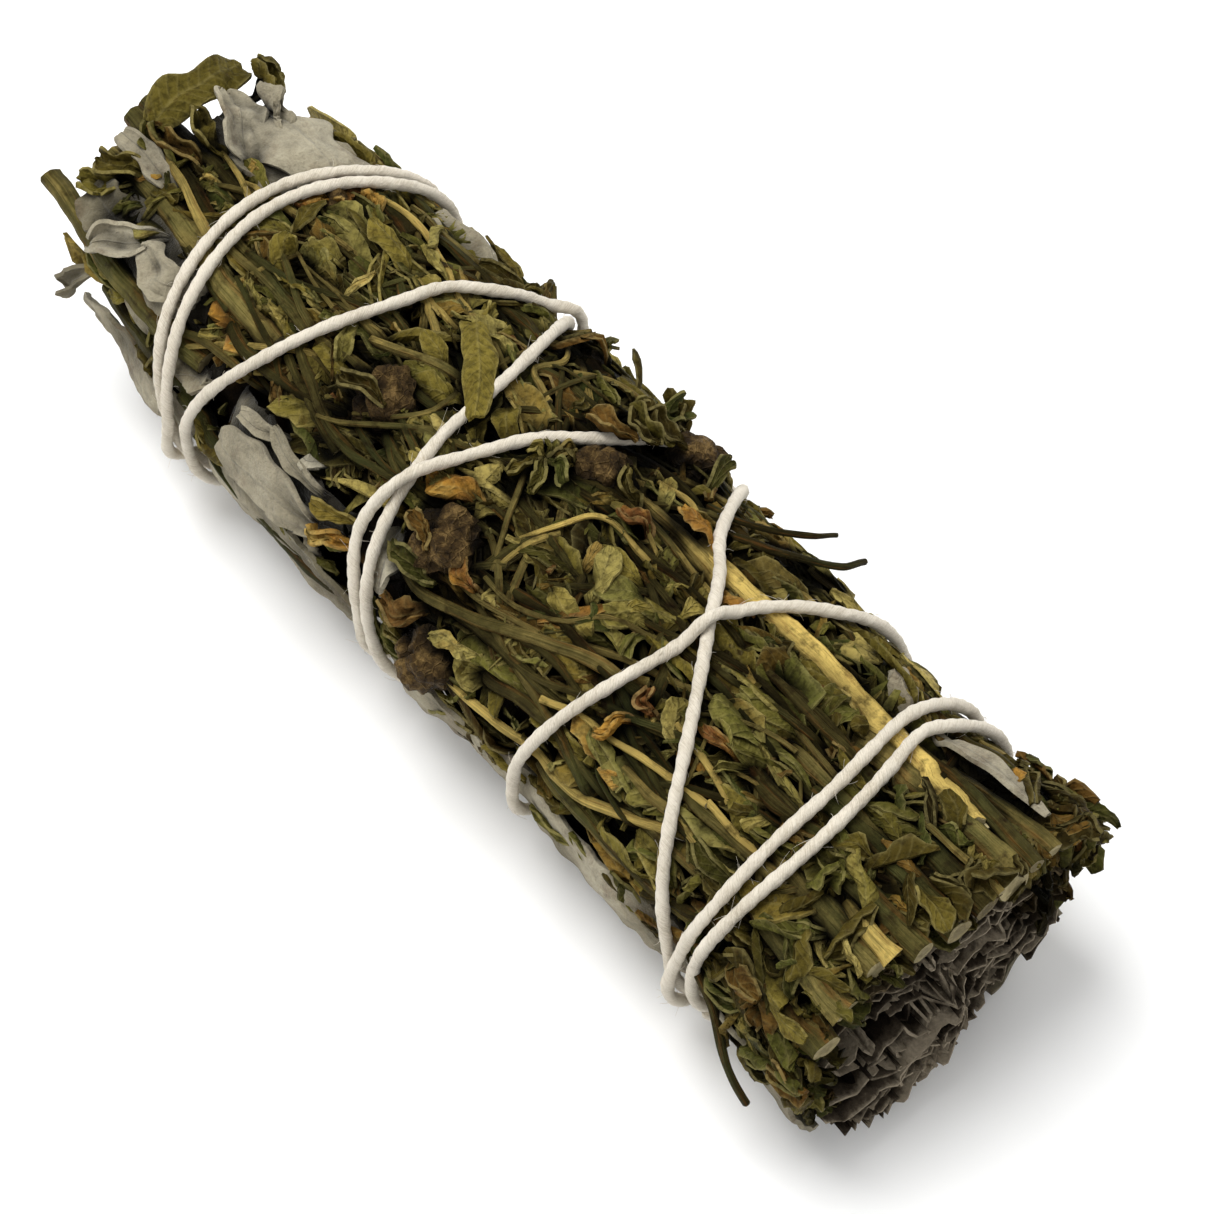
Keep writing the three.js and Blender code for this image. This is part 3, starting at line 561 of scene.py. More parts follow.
def stemFinish():
    # tone, fibres, broader streaks and mottles give the shade; patches are mossy, rusty or have dark bark left
    # on them; where the stem is cut it shows wood, paler on pale stems
    material, shader, place, tone, grain = newFinish("dried_stem", stemLook)
    fibres = noise(grain, 2.6, 4, stretch=(0.06, 1.8, 1.8))
    streaks = noise(grain, 1.0, 3, stretch=(0.16, 1.1, 1.1))
    mottle = noise(place, 330, 4, 0.65)
    shade = plus(fibres, 0.65, tone)
    shade = plus(streaks, 0.3, shade)
    shade = plus(mottle, 0.6, shade)
    base = ramp(calc("SUBTRACT", shade, stemLook["offset"]), stemLook["shades"])
    plain = calc("SUBTRACT", 1.0, above(tone, 0.6, 3.0))  # pale stems stay free of moss
    mossy = above(noise(place, 70, 2), 0.46, 5.0)
    base = mixed(times(times(mossy, plain), 0.5), base, stemLook["green"])
    rusty = above(noise(grain, 1.4, 3, stretch=(0.14, 1.2, 1.2)), 0.52, 7.0)
    base = mixed(times(rusty, 0.5), base, stemLook["rust"])
    blotch = noise(place, 620, 5)
    base = mixed(above(blotch, 0.54, 5.0), base, stemLook["bark"])
    inCut = calc("GREATER_THAN", ownNumber(tone.id_data, "cut")["Fac"], 0.75)
    rings = noise(place, 2400, 4)
    wood = mixed(times(rings, 1.1, clamp=True), stemLook["wood"], stemLook["shades"][1][1])
    pale = above(tone, 0.2, 3.0)
    paler = mixed(times(rings, 0.8), stemLook["pith"], stemLook["wood"])
    wood = mixed(pale, wood, paler)
    base = mixed(inCut, inShade(base, stemLook["deepest"]), wood)
    feed(shader, "Base Color", base)
    height = plus(fibres, 1.6, noise(place, 1500, 5))
    height = plus(mottle, 1.2, height)
    setBump(shader, height, stemLook)
    return material


seedLook = {
    "dark": colour(24, 17, 9), "middle": colour(70, 53, 28), "light": colour(150, 122, 74),
    "roughness": 0.6, "specular": 0.1, "bump": (1.0, 0.0006), "deepest": 0.1,
}


def seedFinish():
    # mottles and the tone run from dark through middle to light, with light flecks along a net of thin veins
    material, shader, place, tone, _ = newFinish("dried_seed_head", seedLook)
    mottle = noise(place, 620, 6, 0.75)
    pits = addNode("TexVoronoi", {"Vector": place, "Scale": 1100.0}, feature="DISTANCE_TO_EDGE")
    veined = ridge(pits.outputs["Distance"], 9.0)
    shade = plus(tone, 0.3, mottle)
    base = ramp(shade, [(0.46, seedLook["dark"]), (0.66, seedLook["middle"]), (0.9, seedLook["light"])])
    flecks = times(veined, above(mottle, 0.4, 4.0))
    base = mixed(times(flecks, 0.7), base, seedLook["light"])
    feed(shader, "Base Color", inShade(base, seedLook["deepest"]))
    height = plus(veined, 0.35, noise(place, 1100, 6, 0.75))
    setBump(shader, height, seedLook)
    return material


sageLook = {
    "shades": [
        (0.0, colour(84, 76, 58)), (0.35, colour(130, 122, 99)), (0.65, colour(164, 155, 131)),
        (1.0, colour(192, 184, 160)),
    ],
    "stain": colour(104, 84, 62), "vein": colour(176, 168, 146), "sheen": (0.12, 0.5),
    "offset": 0.4, "roughness": 0.85, "specular": 0.04, "bump": (0.85, 0.0006), "deepest": 0.1,
}


def sageFinish():
    # tone and patches give the shade; the rib is paler, stains brown, the felt's grain darker, wrinkles painted shade
    material, shader, place, tone, grain = newFinish("sage_felt", sageLook)
    addSheen(shader, *sageLook["sheen"])
    patches = noise(place, 170, 6, 0.65)
    shade = plus(patches, 0.8, tone)
    base = ramp(calc("SUBTRACT", shade, sageLook["offset"]), sageLook["shades"])
    parts = addNode("SeparateXYZ", {0: grain})
    rib = ridge(calc("ABSOLUTE", parts.outputs[1]), 16.0)
    base = mixed(times(rib, 0.35), base, sageLook["vein"])
    stain = noise(place, 240, 5, 0.7)
    base = mixed(above(stain, 0.53, 4.0), base, sageLook["stain"])
    wrinkles = noise(place, 620, 6, 0.7)
    # wrinkles darken the felt in their hollows: painted shade in the creases
    creased = ramp(wrinkles, greys((0.34, 0.55), (0.5, 0.9), (0.6, 1.0)))
    base = mixed(0.8, base, creased, "MULTIPLY")
    felt = noise(place, 5200, 3)
    base = mixed(0.3, base, ramp(felt, greys((0.3, 0.5), (0.65, 1.0))), "MULTIPLY")
    feed(shader, "Base Color", inShade(base, sageLook["deepest"]))
    height = plus(felt, 0.25, times(wrinkles, 1.6))
    height = plus(rib, 0.3, height)
    setBump(shader, height, sageLook)
    return material


crushedLook = {
    "shades": [
        (0.0, colour(15, 12, 9)), (0.35, colour(36, 30, 24)), (0.7, colour(80, 71, 59)), (1.0, colour(156, 144, 124)),
    ],
    "herb": colour(98, 82, 40),  # of what lies nearest the rue
    "offset": 0.64, "roughness": 0.9, "specular": 0.04, "bump": (1.0, 0.0006),
}


def crushedFinish():
    # tone, patches and creases give the shade, the creases as painted light and shade on ridges and hollows; it
    # takes the herbs' colour near the rue, with dark speckles
    material, shader, place, tone, grain = newFinish("crushed_sage", crushedLook)
    creases = noise(place, 1000, 5, 0.7)
    shade = plus(noise(place, 330, 5), 0.7, tone)
    # the creases lighten their ridges and darken their hollows: painted light and shade
    shade = plus(creases, 0.8, shade)
    base = ramp(calc("SUBTRACT", shade, crushedLook["offset"]), crushedLook["shades"])
    outside = times(addNode("SeparateXYZ", {0: grain}).outputs[1], 0.8)
    base = mixed(outside, base, mixed(0.75, crushedLook["herb"], base, "MULTIPLY"))
    speckle = noise(place, 3000, 3)
    base = mixed(0.5, base, ramp(speckle, greys((0.3, 0.4), (0.7, 1.0))), "MULTIPLY")
    feed(shader, "Base Color", base)
    setBump(shader, creases, crushedLook)
    return material


twineLook = {
    "light": colour(226, 217, 199), "shadow": colour(176, 163, 138), "sheen": (0.3, 0.6),
    "offset": 0.2, "roughness": 0.95, "specular": 0.06, "bump": (0.7, 0.0002),
}


def twineFinish():
    # strands along the string and wider patches run from shadow to light
    material, shader, place, _, grain = newFinish("cotton_twine", twineLook)
    addSheen(shader, *twineLook["sheen"])
    strands = noise(grain, 3.0, 4, stretch=(0.35, 2.2, 2.2))
    patches = noise(place, 240, 3)
    shade = plus(patches, 0.5, strands)
    shade = calc("SUBTRACT", shade, twineLook["offset"])
    base = ramp(shade, [(0.3, twineLook["shadow"]), (0.62, twineLook["light"])])
    feed(shader, "Base Color", base)
    height = plus(strands, 1.0, noise(place, 4200, 3))
    setBump(shader, height, twineLook)
    return material


finishes = {
    "rue": rueFinish(), "stem": stemFinish(), "seed": seedFinish(), "sage": sageFinish(),
    "crushed": crushedFinish(), "twine": twineFinish(),
}
print("finishes made")

# ---- leaves ----

leafDefaults = {
    "depth": 1.4, "height": 0.2,  # of the base under the surface and of the tip above it
    "heading": 0.0, "sweep": 0.0,  # 0 points to the leafy end, 90 to where the angle grows
    "base": 0.9, "tip": 0.42,  # powers of the outline at both ends: smaller is blunter
    "curl": 0.8, "fold": 0.0, "ruffle": 0.15, "ruffleTurns": 2.0, "teeth": 0.0,
    "roll": 0.0, "twist": 0.0, "bow": 0.3, "hook": 0.0, "crumple": 0.13, "phase": 0.0,
    "torn": 0.1,  # share by which its outline is uneven
    "free": 0.0,  # 1 lets it lie over the string
    "over": 0.0,  # 1 lets it lie over the stems
    "ceiling": 0.0,  # how far it may stand over the bare surface
}


def leafPoints(leaves, rows, cols):
    # u runs from base to tip and v across. The half width is u^base (1-u)^tip. Across, the leaf is an arc of
    # curl radians with a fold along its rib and ruffled margins, rolled and twisted round its rib. Its rib
    # climbs from its base depth to its tip height, and the string presses down what it crosses.
    n = len(leaves["x"])
    c = {key: np.broadcast_to(leaves.get(key, value), n)[:, None, None] for key, value in leafDefaults.items()}
    c.update({key: np.asarray(leaves[key], float)[:, None, None] for key in ("x", "deg", "length", "width")})
    u = np.linspace(0, 1, rows)[None, :, None]
    v = np.linspace(-1, 1, cols)[None, None, :]
    peak = c["base"] / (c["base"] + c["tip"])
    outline = (u + 0.02) ** c["base"] * (1.015 - u) ** c["tip"] / (peak ** c["base"] * (1 - peak) ** c["tip"])
    half = 0.5 * c["width"] * outline * (1 + 0.1 * np.sin(tau * c["teeth"] * u + c["phase"]) * np.sign(c["teeth"]))
    uneven = c["torn"] * np.sin(9 * u + c["phase"] * 2 + 2.3 * (v > 0))
    half = half * (1 + uneven + c["torn"] * 0.6 * np.sin(21 * u + c["phase"] + 4 * (v > 0)))
    curl = np.where(np.abs(c["curl"]) < 0.05, 0.05, c["curl"]) * (0.75 + 0.5 * u)
    side = half * np.sin(curl * v) / curl
    lift = half * (1 - np.cos(curl * v)) / curl + half * np.abs(v) * c["fold"]
    lift += half * c["ruffle"] * v**2 * np.sin(tau * c["ruffleTurns"] * u + c["phase"] + 2.1 * (v > 0))
    roll = c["roll"] + c["twist"] * (u - 0.4)
    side, lift = side * np.cos(roll) - lift * np.sin(roll), side * np.sin(roll) + lift * np.cos(roll)
    rise = -c["depth"] + (c["height"] + c["depth"]) * u**0.6 + c["bow"] * np.sin(math.pi * u) + c["hook"] * u**4
    crease = np.sin(5 * u + 3.1 * v + c["phase"] * 3) * np.sin(9 * u - 2 * v + c["phase"] * 5)
    crease += 0.6 * np.sin(13 * u + 4.3 * v + c["phase"] * 7) * np.sin(8 * u - 6.5 * v + c["phase"] * 2)
    rise = rise + c["crumple"] * crease
    side = side + c["crumple"] * 0.9 * np.sin(7 * u + c["phase"] * 4)
    along = c["length"] * u * (1 - 0.12 * np.abs(c["hook"]) * u**3 / np.maximum(c["length"], 1))
    side = side + c["sweep"] * c["length"] * u**2 / 2
    turn = np.radians(c["heading"])
    x = c["x"] - along * np.cos(turn) + side * np.sin(turn)
    arc = along * np.sin(turn) + side * np.cos(turn)
    deg = c["deg"] + np.degrees(arc / bareRadius(c["x"], c["deg"]))
    radius = surfaceRadius(x, deg) + rise + lift
    under = bareRadius(x, deg) + c["ceiling"] - radius
    capped = radius + under - np.log1p(np.exp(np.clip(4 * under, -30, 30))) / 4
    below = np.minimum(capped, bareRadius(x, deg) + onMap(stemRoom, x, deg))
    capped = np.where(c["over"] > 0.5, capped, below)
    radius = np.where(c["free"] > 0.5, radius, pressed(x, deg, capped, room=0.12))
    grain = np.stack(np.broadcast_arrays(c["length"] * u, v, c["phase"] * 10), -1)
    return onAxis(x, deg, radius), grain


def leafPart(leaves, rows, cols, thickness):
    # the leaves' surfaces as thin closed shells, each with one tone
    top, grain = leafPoints(leaves, rows, cols)
    tone = np.broadcast_to(leaves["tone"], len(leaves["x"]))[:, None, None]
    return shells(top, thickness, tone, grain)


# ---- rods: stems and stalks ----

rodShape = {
    "nodeEvery": 11, "nodeHalfLength": 0.8, "nodeSwell": 0.16,  # the swellings where leaves once grew
    "bends": ((0.9, 3.1), (0.4, 1.1)),  # two waves to the sides: degrees, and mm for a radian of the wave
    "uneven": 0.05, "rise": 0.1,  # of its girth, and in mm up and down
}


def rodLines(rods, rings, seed):
    # centre lines through given points (along, angle, height of the rod's top over the string's seat). Rods
    # thin to their tips, swell at their nodes and sink into the bunch by their dive at both ends
    draw = np.random.default_rng(seed)
    n = len(rods)
    u = np.linspace(0, 1, rings)
    line = np.zeros((n, rings, 3))
    for k, rod in enumerate(rods):
        points = np.array(rod["at"], float)
        step = np.hypot(np.diff(points[:, 0]), np.diff(points[:, 1]) * 0.26)  # mm in a degree round the bunch
        place = np.r_[0, step.cumsum()]
        line[k] = through(place / place[-1], points, u)
    radius, thin, dive, free, straight = (
        np.array([rod.get(key, value) for rod in rods], float)[:, None]
        for key, value in (("radius", 0.5), ("thin", 0.3), ("dive", 0.0), ("free", 0.0), ("straight", 0.0))
    )
    x, deg, lift = line[..., 0], line[..., 1], line[..., 2]
    wander = draw.uniform(0, tau, (3, n, 1))
    run = np.abs(x - x[:, :1])
    every = rodShape["nodeEvery"]
    node = np.exp(-((((run + 3 * wander[0]) % every - every / 2) / rodShape["nodeHalfLength"]) ** 2))
    size = radius * (1 - thin * u) * (1 + rodShape["nodeSwell"] * node)
    size = size * (1 + rodShape["uneven"] * np.sin(run * 1.3 + wander[1]))
    loose = (1 - straight) * np.clip(1.2 - radius, 0.2, 1.0)  # thin rods are the more bent
    (wide, long), (narrow, short) = rodShape["bends"]
    deg = deg + loose * (wide * np.sin(run / long + wander[2]) + narrow * np.sin(run / short + wander[1]))
    lift = lift + rodShape["rise"] * np.sin(run / 2.3 + wander[0]) - dive * np.abs(2 * u - 1) ** 5
    top = bareRadius(x, deg) - bunch["furrowDepth"] + lift
    top = np.where(free > 0, top, pressed(x, deg, top, 0.05, 0.25))
    return x, deg, top - size, size, run, wander


def rodPart(rods, rings, sides, seed, cut=True):
    # ridged tubes along the rods' lines: round, times one plus waves with two, three and five crests round them
    x, deg, centre, size, run, wander = rodLines(rods, rings, seed)
    turn = np.arange(sides) / sides * tau
    ridges = 1 + 0.05 * np.sin(5 * turn + 0.09 * run[..., None] + wander[1][..., None])
    ridges = ridges + 0.06 * np.sin(3 * turn - 0.3 * run[..., None] + wander[2][..., None])
    ridges = ridges + 0.04 * np.sin(2 * turn + 1.9 * run[..., None] + wander[0][..., None])
    tone = np.array([rod["tone"] for rod in rods], float)
    return tubes(onAxis(x, deg, centre), outwardAt(deg), size, sides, tone, ridges, cutStart=cut, cutEnd=cut)


stemSides = {  # how stems hold the leaves beside them down
    "slope": 1.5, "widthShare": 0.75, "reach": 2.4, "cells": 6,
    "lowest": -2.7, "most": 9.0,  # height of the deepest stem that counts, and of leaves far from any
}


def roomUnder(groups):
    # how high leaves may stand over the bare surface so that they stay under the stems' sides: each stem's
    # centre line, with a slope up away from it
    room = np.full((unrolledMap["cells"], unrolledMap["round"]), stemSides["most"])
    lines = [rodLines(rods, rings, seed)[:4] for rods, rings, seed in groups]
    x, deg, centre, size = (np.concatenate([line[k].ravel() for line in lines]) for k in range(4))
    high = centre - bareRadius(x, deg)
    i, j = cellOf(x, deg)
    perCell = bareRadius(x, deg) * tau / unrolledMap["round"]
    cells = range(-stemSides["cells"], stemSides["cells"] + 1)
    for di in cells:
        for dj in cells:
            row, col = np.floor(i).astype(int) + di, np.floor(j).astype(int) + dj
            away = np.hypot((row - i) * unrolledMap["step"], (col - j) * perCell)
            value = high + stemSides["slope"] * np.clip(away - stemSides["widthShare"] * size, 0, None)
            near = (away < stemSides["reach"]) & (high > stemSides["lowest"])
            near = near & (row >= 0) & (row < unrolledMap["cells"])
            np.minimum.at(room, (row[near], col[near] % unrolledMap["round"]), value[near])
    return room


# ---- the frame's own plan of the rue sprays, which the finer pieces keep ----

sprays = {"first": -20.0, "last": 171.0, "count": 6, "wave": 3.0, "seed": 151}
leafRows = {"count": 11, "start": 45.0, "step": -8.8}

stems = [  # angle round the bunch, start, end, radius at the start
    (-9, 48, 12, 1.4), (6, 50.5, 4, 1.6), (22, 49, 10, 1.4), (40, 49.5, 22, 1.2), (66, 51.5, -8, 1.8),
    (84, 52, 14, 1.2), (98, 52, 6, 1.2), (113, 51.5, -4, 1.1), (127, 50, 12, 1.2), (143, 50.5, 8, 1.3),
    (157, 51, 18, 1.3), (24, -22, -52, 1.2), (50, -30, -54, 1.2), (92, -18, -58, 1.2), (103, -8, -57.5, 1.3),
    (121, -20, -55.5, 1.2), (151, -26, -58.5, 1.3), (164, -28, -48, 1.2),
]
seedHeads = [  # place along, angle round, depth, radius
    (-16.5, 113, 1.6, 3.4), (-37, 62, 1.8, 2.6), (1.2, 68, 1, 2.8), (-2, 132, 0.9, 3.7), (2.5, 166, 0.9, 3.4),
    (4, 33, 0.2, 2.9), (-8, 4, 1.2, 3),
]


def seededDraws(seed):
    # the same small random number source as the frame's, so that leaves land in the same places
    state = [seed]
    mask = 2**32 - 1

    def draw(low, high):
        # the state takes a fixed step, two rounds of mixing stir its bits, and it is read as a share of the range
        state[0] = (state[0] + 0x6D2B79F5) & mask
        mix = ((state[0] ^ (state[0] >> 15)) * (1 | state[0])) & mask
        mix = (mix + (((mix ^ (mix >> 7)) * (61 | mix)) & mask) & mask) ^ mix
        return low + (high - low) * ((mix ^ (mix >> 14)) & mask) / 2**32

    return draw


def sprayEdge(index, x):
    # evenly shared angles, with a slow wave along the bunch between neighbours
    wave = sprays["wave"] if index % sprays["count"] else 0
    share = (sprays["last"] - sprays["first"]) * index / sprays["count"]
    return sprays["first"] + share + wave * np.sin(x / 12 + index * 2.1)


def sprayPlan(index):
    # stems, seed heads, lobed leaves and leaflets of one spray, drawn in the frame's own order
    draw = seededDraws(sprays["seed"] + index)
    low, high = float(sprayEdge(index, 0.0)), float(sprayEdge(index + 1, 0.0))
    ownStems = [(*one, draw(0, 6)) for one in stems if low <= one[0] < high]
    ownHeads = [(*one, draw(-25, 25)) for one in seedHeads if low <= one[1] < high]
    lobed, leaflets = [], []
    for row in range(leafRows["count"]):
        x = leafRows["start"] + leafRows["step"] * (row + draw(-0.2, 0.2))
        if (row + index) % 3 == 0:
            deg = low + (high - low) * draw(0.42, 0.58)
            size = {"length": draw(10, 13), "lobes": 3 + (row + index) % 2, "heading": draw(-18, 18)}
            lobed.append({"x": x, "deg": deg, **size, "height": draw(-0.1, 0.8), "arch": draw(0.3, 0.9)})
            continue
        for across in (0.27, 0.73):
            start = {"x": x + draw(-2, 2), "deg": low + (high - low) * (across + draw(-0.08, 0.08))}
            size = {"length": draw(9, 12.5), "width": draw(3.6, 4.8)}
            size["heading"] = draw(-6, 22) * (1 if across > 0.5 else -1)
            bend = {"height": draw(-0.4, 0.8), "fold": draw(-0.5, 0.7), "roll": draw(-0.25, 0.25)}
            leaflets.append({**start, **size, **bend})
    return ownStems, ownHeads, lobed, leaflets


# ---- rue sprays ----

rue = {
    # in each spray: count, length, width, depth of the base, height of the tip, spread of the headings
    "fillers": (105, (5, 11), (1.6, 3.6), (1.2, 3.4), (-1.8, 0.1), 20),
    "bits": (150, (2.2, 5), (1.1, 2.6), (0.6, 2.8), (-2.0, 0.1), 70),
    "crumbs": (150, (0.8, 2.2), (0.5, 1.5), (0.4, 2.8), (-2.2, -0.3), 90),
    "stalks": 54,
    "leafThickness": 0.24, "crumbThickness": 0.2, "narrower": 0.8, "lowestDeg": 171.0,
    # the bed's low tone is painted shade, as the crumbled leaf under the leaves lies in their shadow
    "core": {"depth": 3.6, "thickness": 2.4, "tone": 0.12},  # the bed of crumbled leaf under the leaves
}
sagePatches = [  # where sage lies on top and no rue leaf covers it: from, to, angles
    (-54, -38, 37, 80), (-26.5, -13, 148, 200), (-54, -37, 128, 149), (-9, -4, 142, 168),
    (-37, -31, 151, 168),
]


def inPatch(x, deg, grow):
    # true below the lowest rue and in each patch of sage, grown by so many mm and three times that in degrees
    found = deg > rue["lowestDeg"]
    for start, end, low, high in sagePatches:
        found = found | ((x > start - grow) & (x < end + grow) & (deg > low - 3 * grow) & (deg < high + 3 * grow))
    return found


def keptClear(leaves):
    # leaves whose base, middle or tip would lie on bare sage are left out
    turn = np.radians(leaves["heading"])
    covered = False
    for share in (0.1, 0.55, 0.95):
        x = leaves["x"] - leaves["length"] * share * np.cos(turn)
        deg = leaves["deg"] + np.degrees(leaves["length"] * share * np.sin(turn) / bunch["meanRadius"])
        covered = covered | inPatch(x, deg, 0.4)
    return {key: value[~covered] for key, value in leaves.items()}


def table(rows):
    # a list of dictionaries as one dictionary of arrays
    return {key: np.array([row[key] for row in rows], float) for key in rows[0]}


# How leaves differ by chance: evenly between the two numbers of a pair, or with a list's middle and spread.
chances = {
    "planned": {
        "curl": (0.6, 2.6), "ruffle": (0.1, 0.4), "bow": (-0.1, 0.6), "hook": (-1, 1), "sweep": [0, 0.25],
        "twist": [0, 0.7], "crumple": (0.06, 0.24), "torn": (0.05, 0.25), "phase": (0, tau), "tone": (0.2, 0.75),
        "teeth": (0, 4), "ceiling": (-0.6, 0.2),
    },
    "scattered": {
        "curl": (0.8, 2.9), "fold": [0, 0.3], "ruffle": (0, 0.4), "roll": [0, 0.9], "twist": [0, 1.2],
        "bow": (-0.3, 0.7), "hook": (-1.2, 1), "crumple": (0.04, 0.22), "phase": (0, tau), "torn": (0.05, 0.3),
        "tone": [0.38, 0.24], "base": (0.5, 1.1), "tip": (0.3, 0.7), "teeth": (0, 4), "ceiling": (-0.9, 0),
    },
    "strewn": {  # each group has a middle tone of its own
        "depth": (0.4, 1.6), "curl": (0.8, 2.8), "fold": [0, 0.3], "roll": [0, 0.6], "twist": [0, 1],
        "bow": (-0.2, 0.6), "crumple": (0.06, 0.26), "torn": (0.05, 0.25), "phase": (0, tau), "tone": [0.3, 0.2],
        "base": (0.5, 1), "tip": (0.3, 0.6), "over": (0, 1),
    },
}


def byChance(draw, count, ranges, ways=(-1, 1)):
    # for each key as many values as leaves; teeth are whole numbers, tones stay from 0 to 1, curls go either way
    values = {}
    for key, span in ranges.items():
        how = draw.integers if key == "teeth" else draw.normal if isinstance(span, list) else draw.uniform
        values[key] = how(*span, count)
        if key == "curl":
            values[key] = values[key] * draw.choice(ways, count)
    return values | {"tone": np.clip(values["tone"], 0, 1)}


def plannedLeaves(leaflets, draw):
    # the leaflets of the plan, narrower and set lower, each bent and curled by chance
    n = len(leaflets)
    leaves = table(leaflets)
    leaves["roll"] = leaves["roll"] + draw.normal(0, 0.4, n)
    leaves["width"] = leaves["width"] * rue["narrower"]
    leaves["height"] = leaves["height"] * 0.5 - 0.35
    return leaves | {"depth": np.full(n, 2.6)} | byChance(draw, n, chances["planned"], (-1, 1, 1))


def lobedLeaves(lobed, draw):
    # each lobed leaf is a fan of narrow-based leaflets along a short stalk: one at its tip, the rest in pairs
    rows = []
    for leaf in lobed:
        count = leaf["lobes"] * 2 - 1
        tone = draw.uniform(0.35, 0.75)
        for k in range(count):
            place = 0.5 * ((k + 1) // 2) / leaf["lobes"]
            hand = 1 if k % 2 else -1
            spread = 0 if k == 0 else hand * (30 + 12 * (k // 2))
            along = leaf["length"] * (0.5 - place)
            turn = math.radians(leaf["heading"])
            arc = along * math.sin(turn)
            rows.append({
                "x": leaf["x"] - along * math.cos(turn),
                "deg": leaf["deg"] + math.degrees(arc / bunch["meanRadius"]),
                "length": leaf["length"] * (0.52 - 0.06 * (k // 2)) * draw.uniform(0.85, 1.1),
                "width": leaf["length"] * 0.22 * draw.uniform(0.8, 1.15),
                "heading": leaf["heading"] + spread + draw.normal(0, 9),
                "depth": 0.7 - leaf["height"] * 0.5, "height": leaf["height"] * 0.6 + draw.uniform(-0.4, 0.5),
                "bow": leaf["arch"] * draw.uniform(0.2, 0.8), "curl": draw.uniform(0.4, 2.0),
                "tone": tone + draw.normal(0, 0.04),
                "phase": draw.uniform(0, tau), "roll": draw.normal(0, 0.4), "hook": draw.uniform(-0.8, 0.6),
                "ruffle": 0.3, "base": 1.1, "tip": 0.4, "ceiling": draw.uniform(-0.4, 0.2),
                "crumple": draw.uniform(0.06, 0.2),
            })
    return table(rows)


def scattered(index, draw, count, length, width, depth, height, spread):
    # leaves strewn evenly over a spray's share of the bunch, at random depths
    x = draw.uniform(bunch["leafyEnd"] + 3, bunch["cutEnd"] - 1, count)
    low, high = sprayEdge(index, x), sprayEdge(index + 1, x)
    size = draw.uniform(*length, count)
    heading = draw.normal(0, spread, count) + 180 * (draw.uniform(0, 1, count) > 0.8)
    toCutEnd = np.maximum(-np.cos(np.radians(heading)), 0.05)
    size = np.minimum(size, np.minimum(x - bunch["leafyEnd"] + 6, (bunch["cutEnd"] + 1 - x) / toCutEnd))
    deg = low + (high - low) * draw.uniform(0, 1, count)
    ranges = {"width": width, "sweep": [0, 0.4], "depth": depth, "height": height}
    own = byChance(draw, count, ranges | chances["scattered"])
    return own | {"x": x, "deg": deg, "heading": heading, "length": size}


def sprayCore(index):
    # a lumpy bed under the leaves, between the spray's two edges: a fixed depth plus two sizes of lumps
    core = rue["core"]
    x = np.linspace(bunch["leafyEnd"] + 2, bunch["cutEnd"] - 2, 76)[:, None]
    low, high = sprayEdge(index, x) + 0.6, sprayEdge(index + 1, x) - 0.6
    deg = low + (high - low) * np.linspace(0, 1, 13)[None]
    x = np.broadcast_to(x, deg.shape)
    spot = np.stack([x, np.radians(deg) * 15], -1)
    lump = 0.5 * wobble(spot, 3.2, 11 + index) + 0.3 * wobble(spot, 1.1, 31 + index)
    top = onAxis(x[::-1], deg[::-1], bareRadius(x, deg)[::-1] - core["depth"] + lump[::-1])[None]
    grain = np.zeros(top.shape)
    grain[..., 1] = 0.5
    # the bed takes the core's low tone: painted shade under the leaves
    return shells(top, core["thickness"], core["tone"], grain)


paleStems = {66: 0.52, 98: 0.32, 113: 0.36, 127: 0.52, 143: 0.46, 157: 0.4}  # tones at these angles


def mainStems(ownStems):
    # the long stems, straight but for a small wave, sinking by up to 1.4 mm; those on top of the leafy end are
    # bent, and come with the listed ones
    return [
        {"at": [(start, deg, -0.1), (start + (end - start) * 0.2, deg + 0.6 * math.sin(phase), 0.0),
                (start + (end - start) * 0.38, deg + 1.2 * math.sin(phase + 1.7), -1.0),
                (start + (end - start) * 0.7, deg + 1.2 * math.sin(phase + 3.4), -1.2), (end, deg, -1.4)],
         "radius": radius, "thin": 0.35, "tone": paleStems.get(deg, 0.08 + 0.22 * (0.5 + 0.5 * math.sin(7 * phase)))}
        for deg, start, end, radius, phase in ((deg, start - 4 * (deg < 45), *more) for deg, start, *more in ownStems)
        if start > 0 or deg < 60
    ]


def underStraw(x, deg):
    # true in the strip that the straw-coloured stem lies on
    return 9 < x < 47 and 50 < deg < 67


def thinStalks(index, draw, count):
    # slim curved leaf stalks that dive among the leaves at both ends
    rods = []
    for _ in range(count):
        x = draw.uniform(bunch["leafyEnd"] + 10, bunch["cutEnd"] - 2)
        low, high = float(sprayEdge(index, x)), float(sprayEdge(index + 1, x))
        deg, length = draw.uniform(low, high), draw.uniform(7, 26)
        heading, sweep = math.radians(draw.normal(0, 38)), draw.normal(0, 0.5)
        height = draw.uniform(-0.8, 0.6)
        at = []
        for u in (0, 0.33, 0.67, 1):
            place = max(x - length * u * math.cos(heading), bunch["leafyEnd"] - 2)
            at.append((place, deg + 4 * length * (u * math.sin(heading) + sweep * u * u / 2), height))
        if not any(inPatch(np.array(a), np.array(b), 0.3) or underStraw(a, b) for a, b, _ in at):
            size = {"radius": draw.uniform(0.18, 0.6), "dive": draw.uniform(0.3, 2.2)}
            rods.append({"at": at, **size, "tone": draw.uniform(0.15, 0.8)})
    return rods


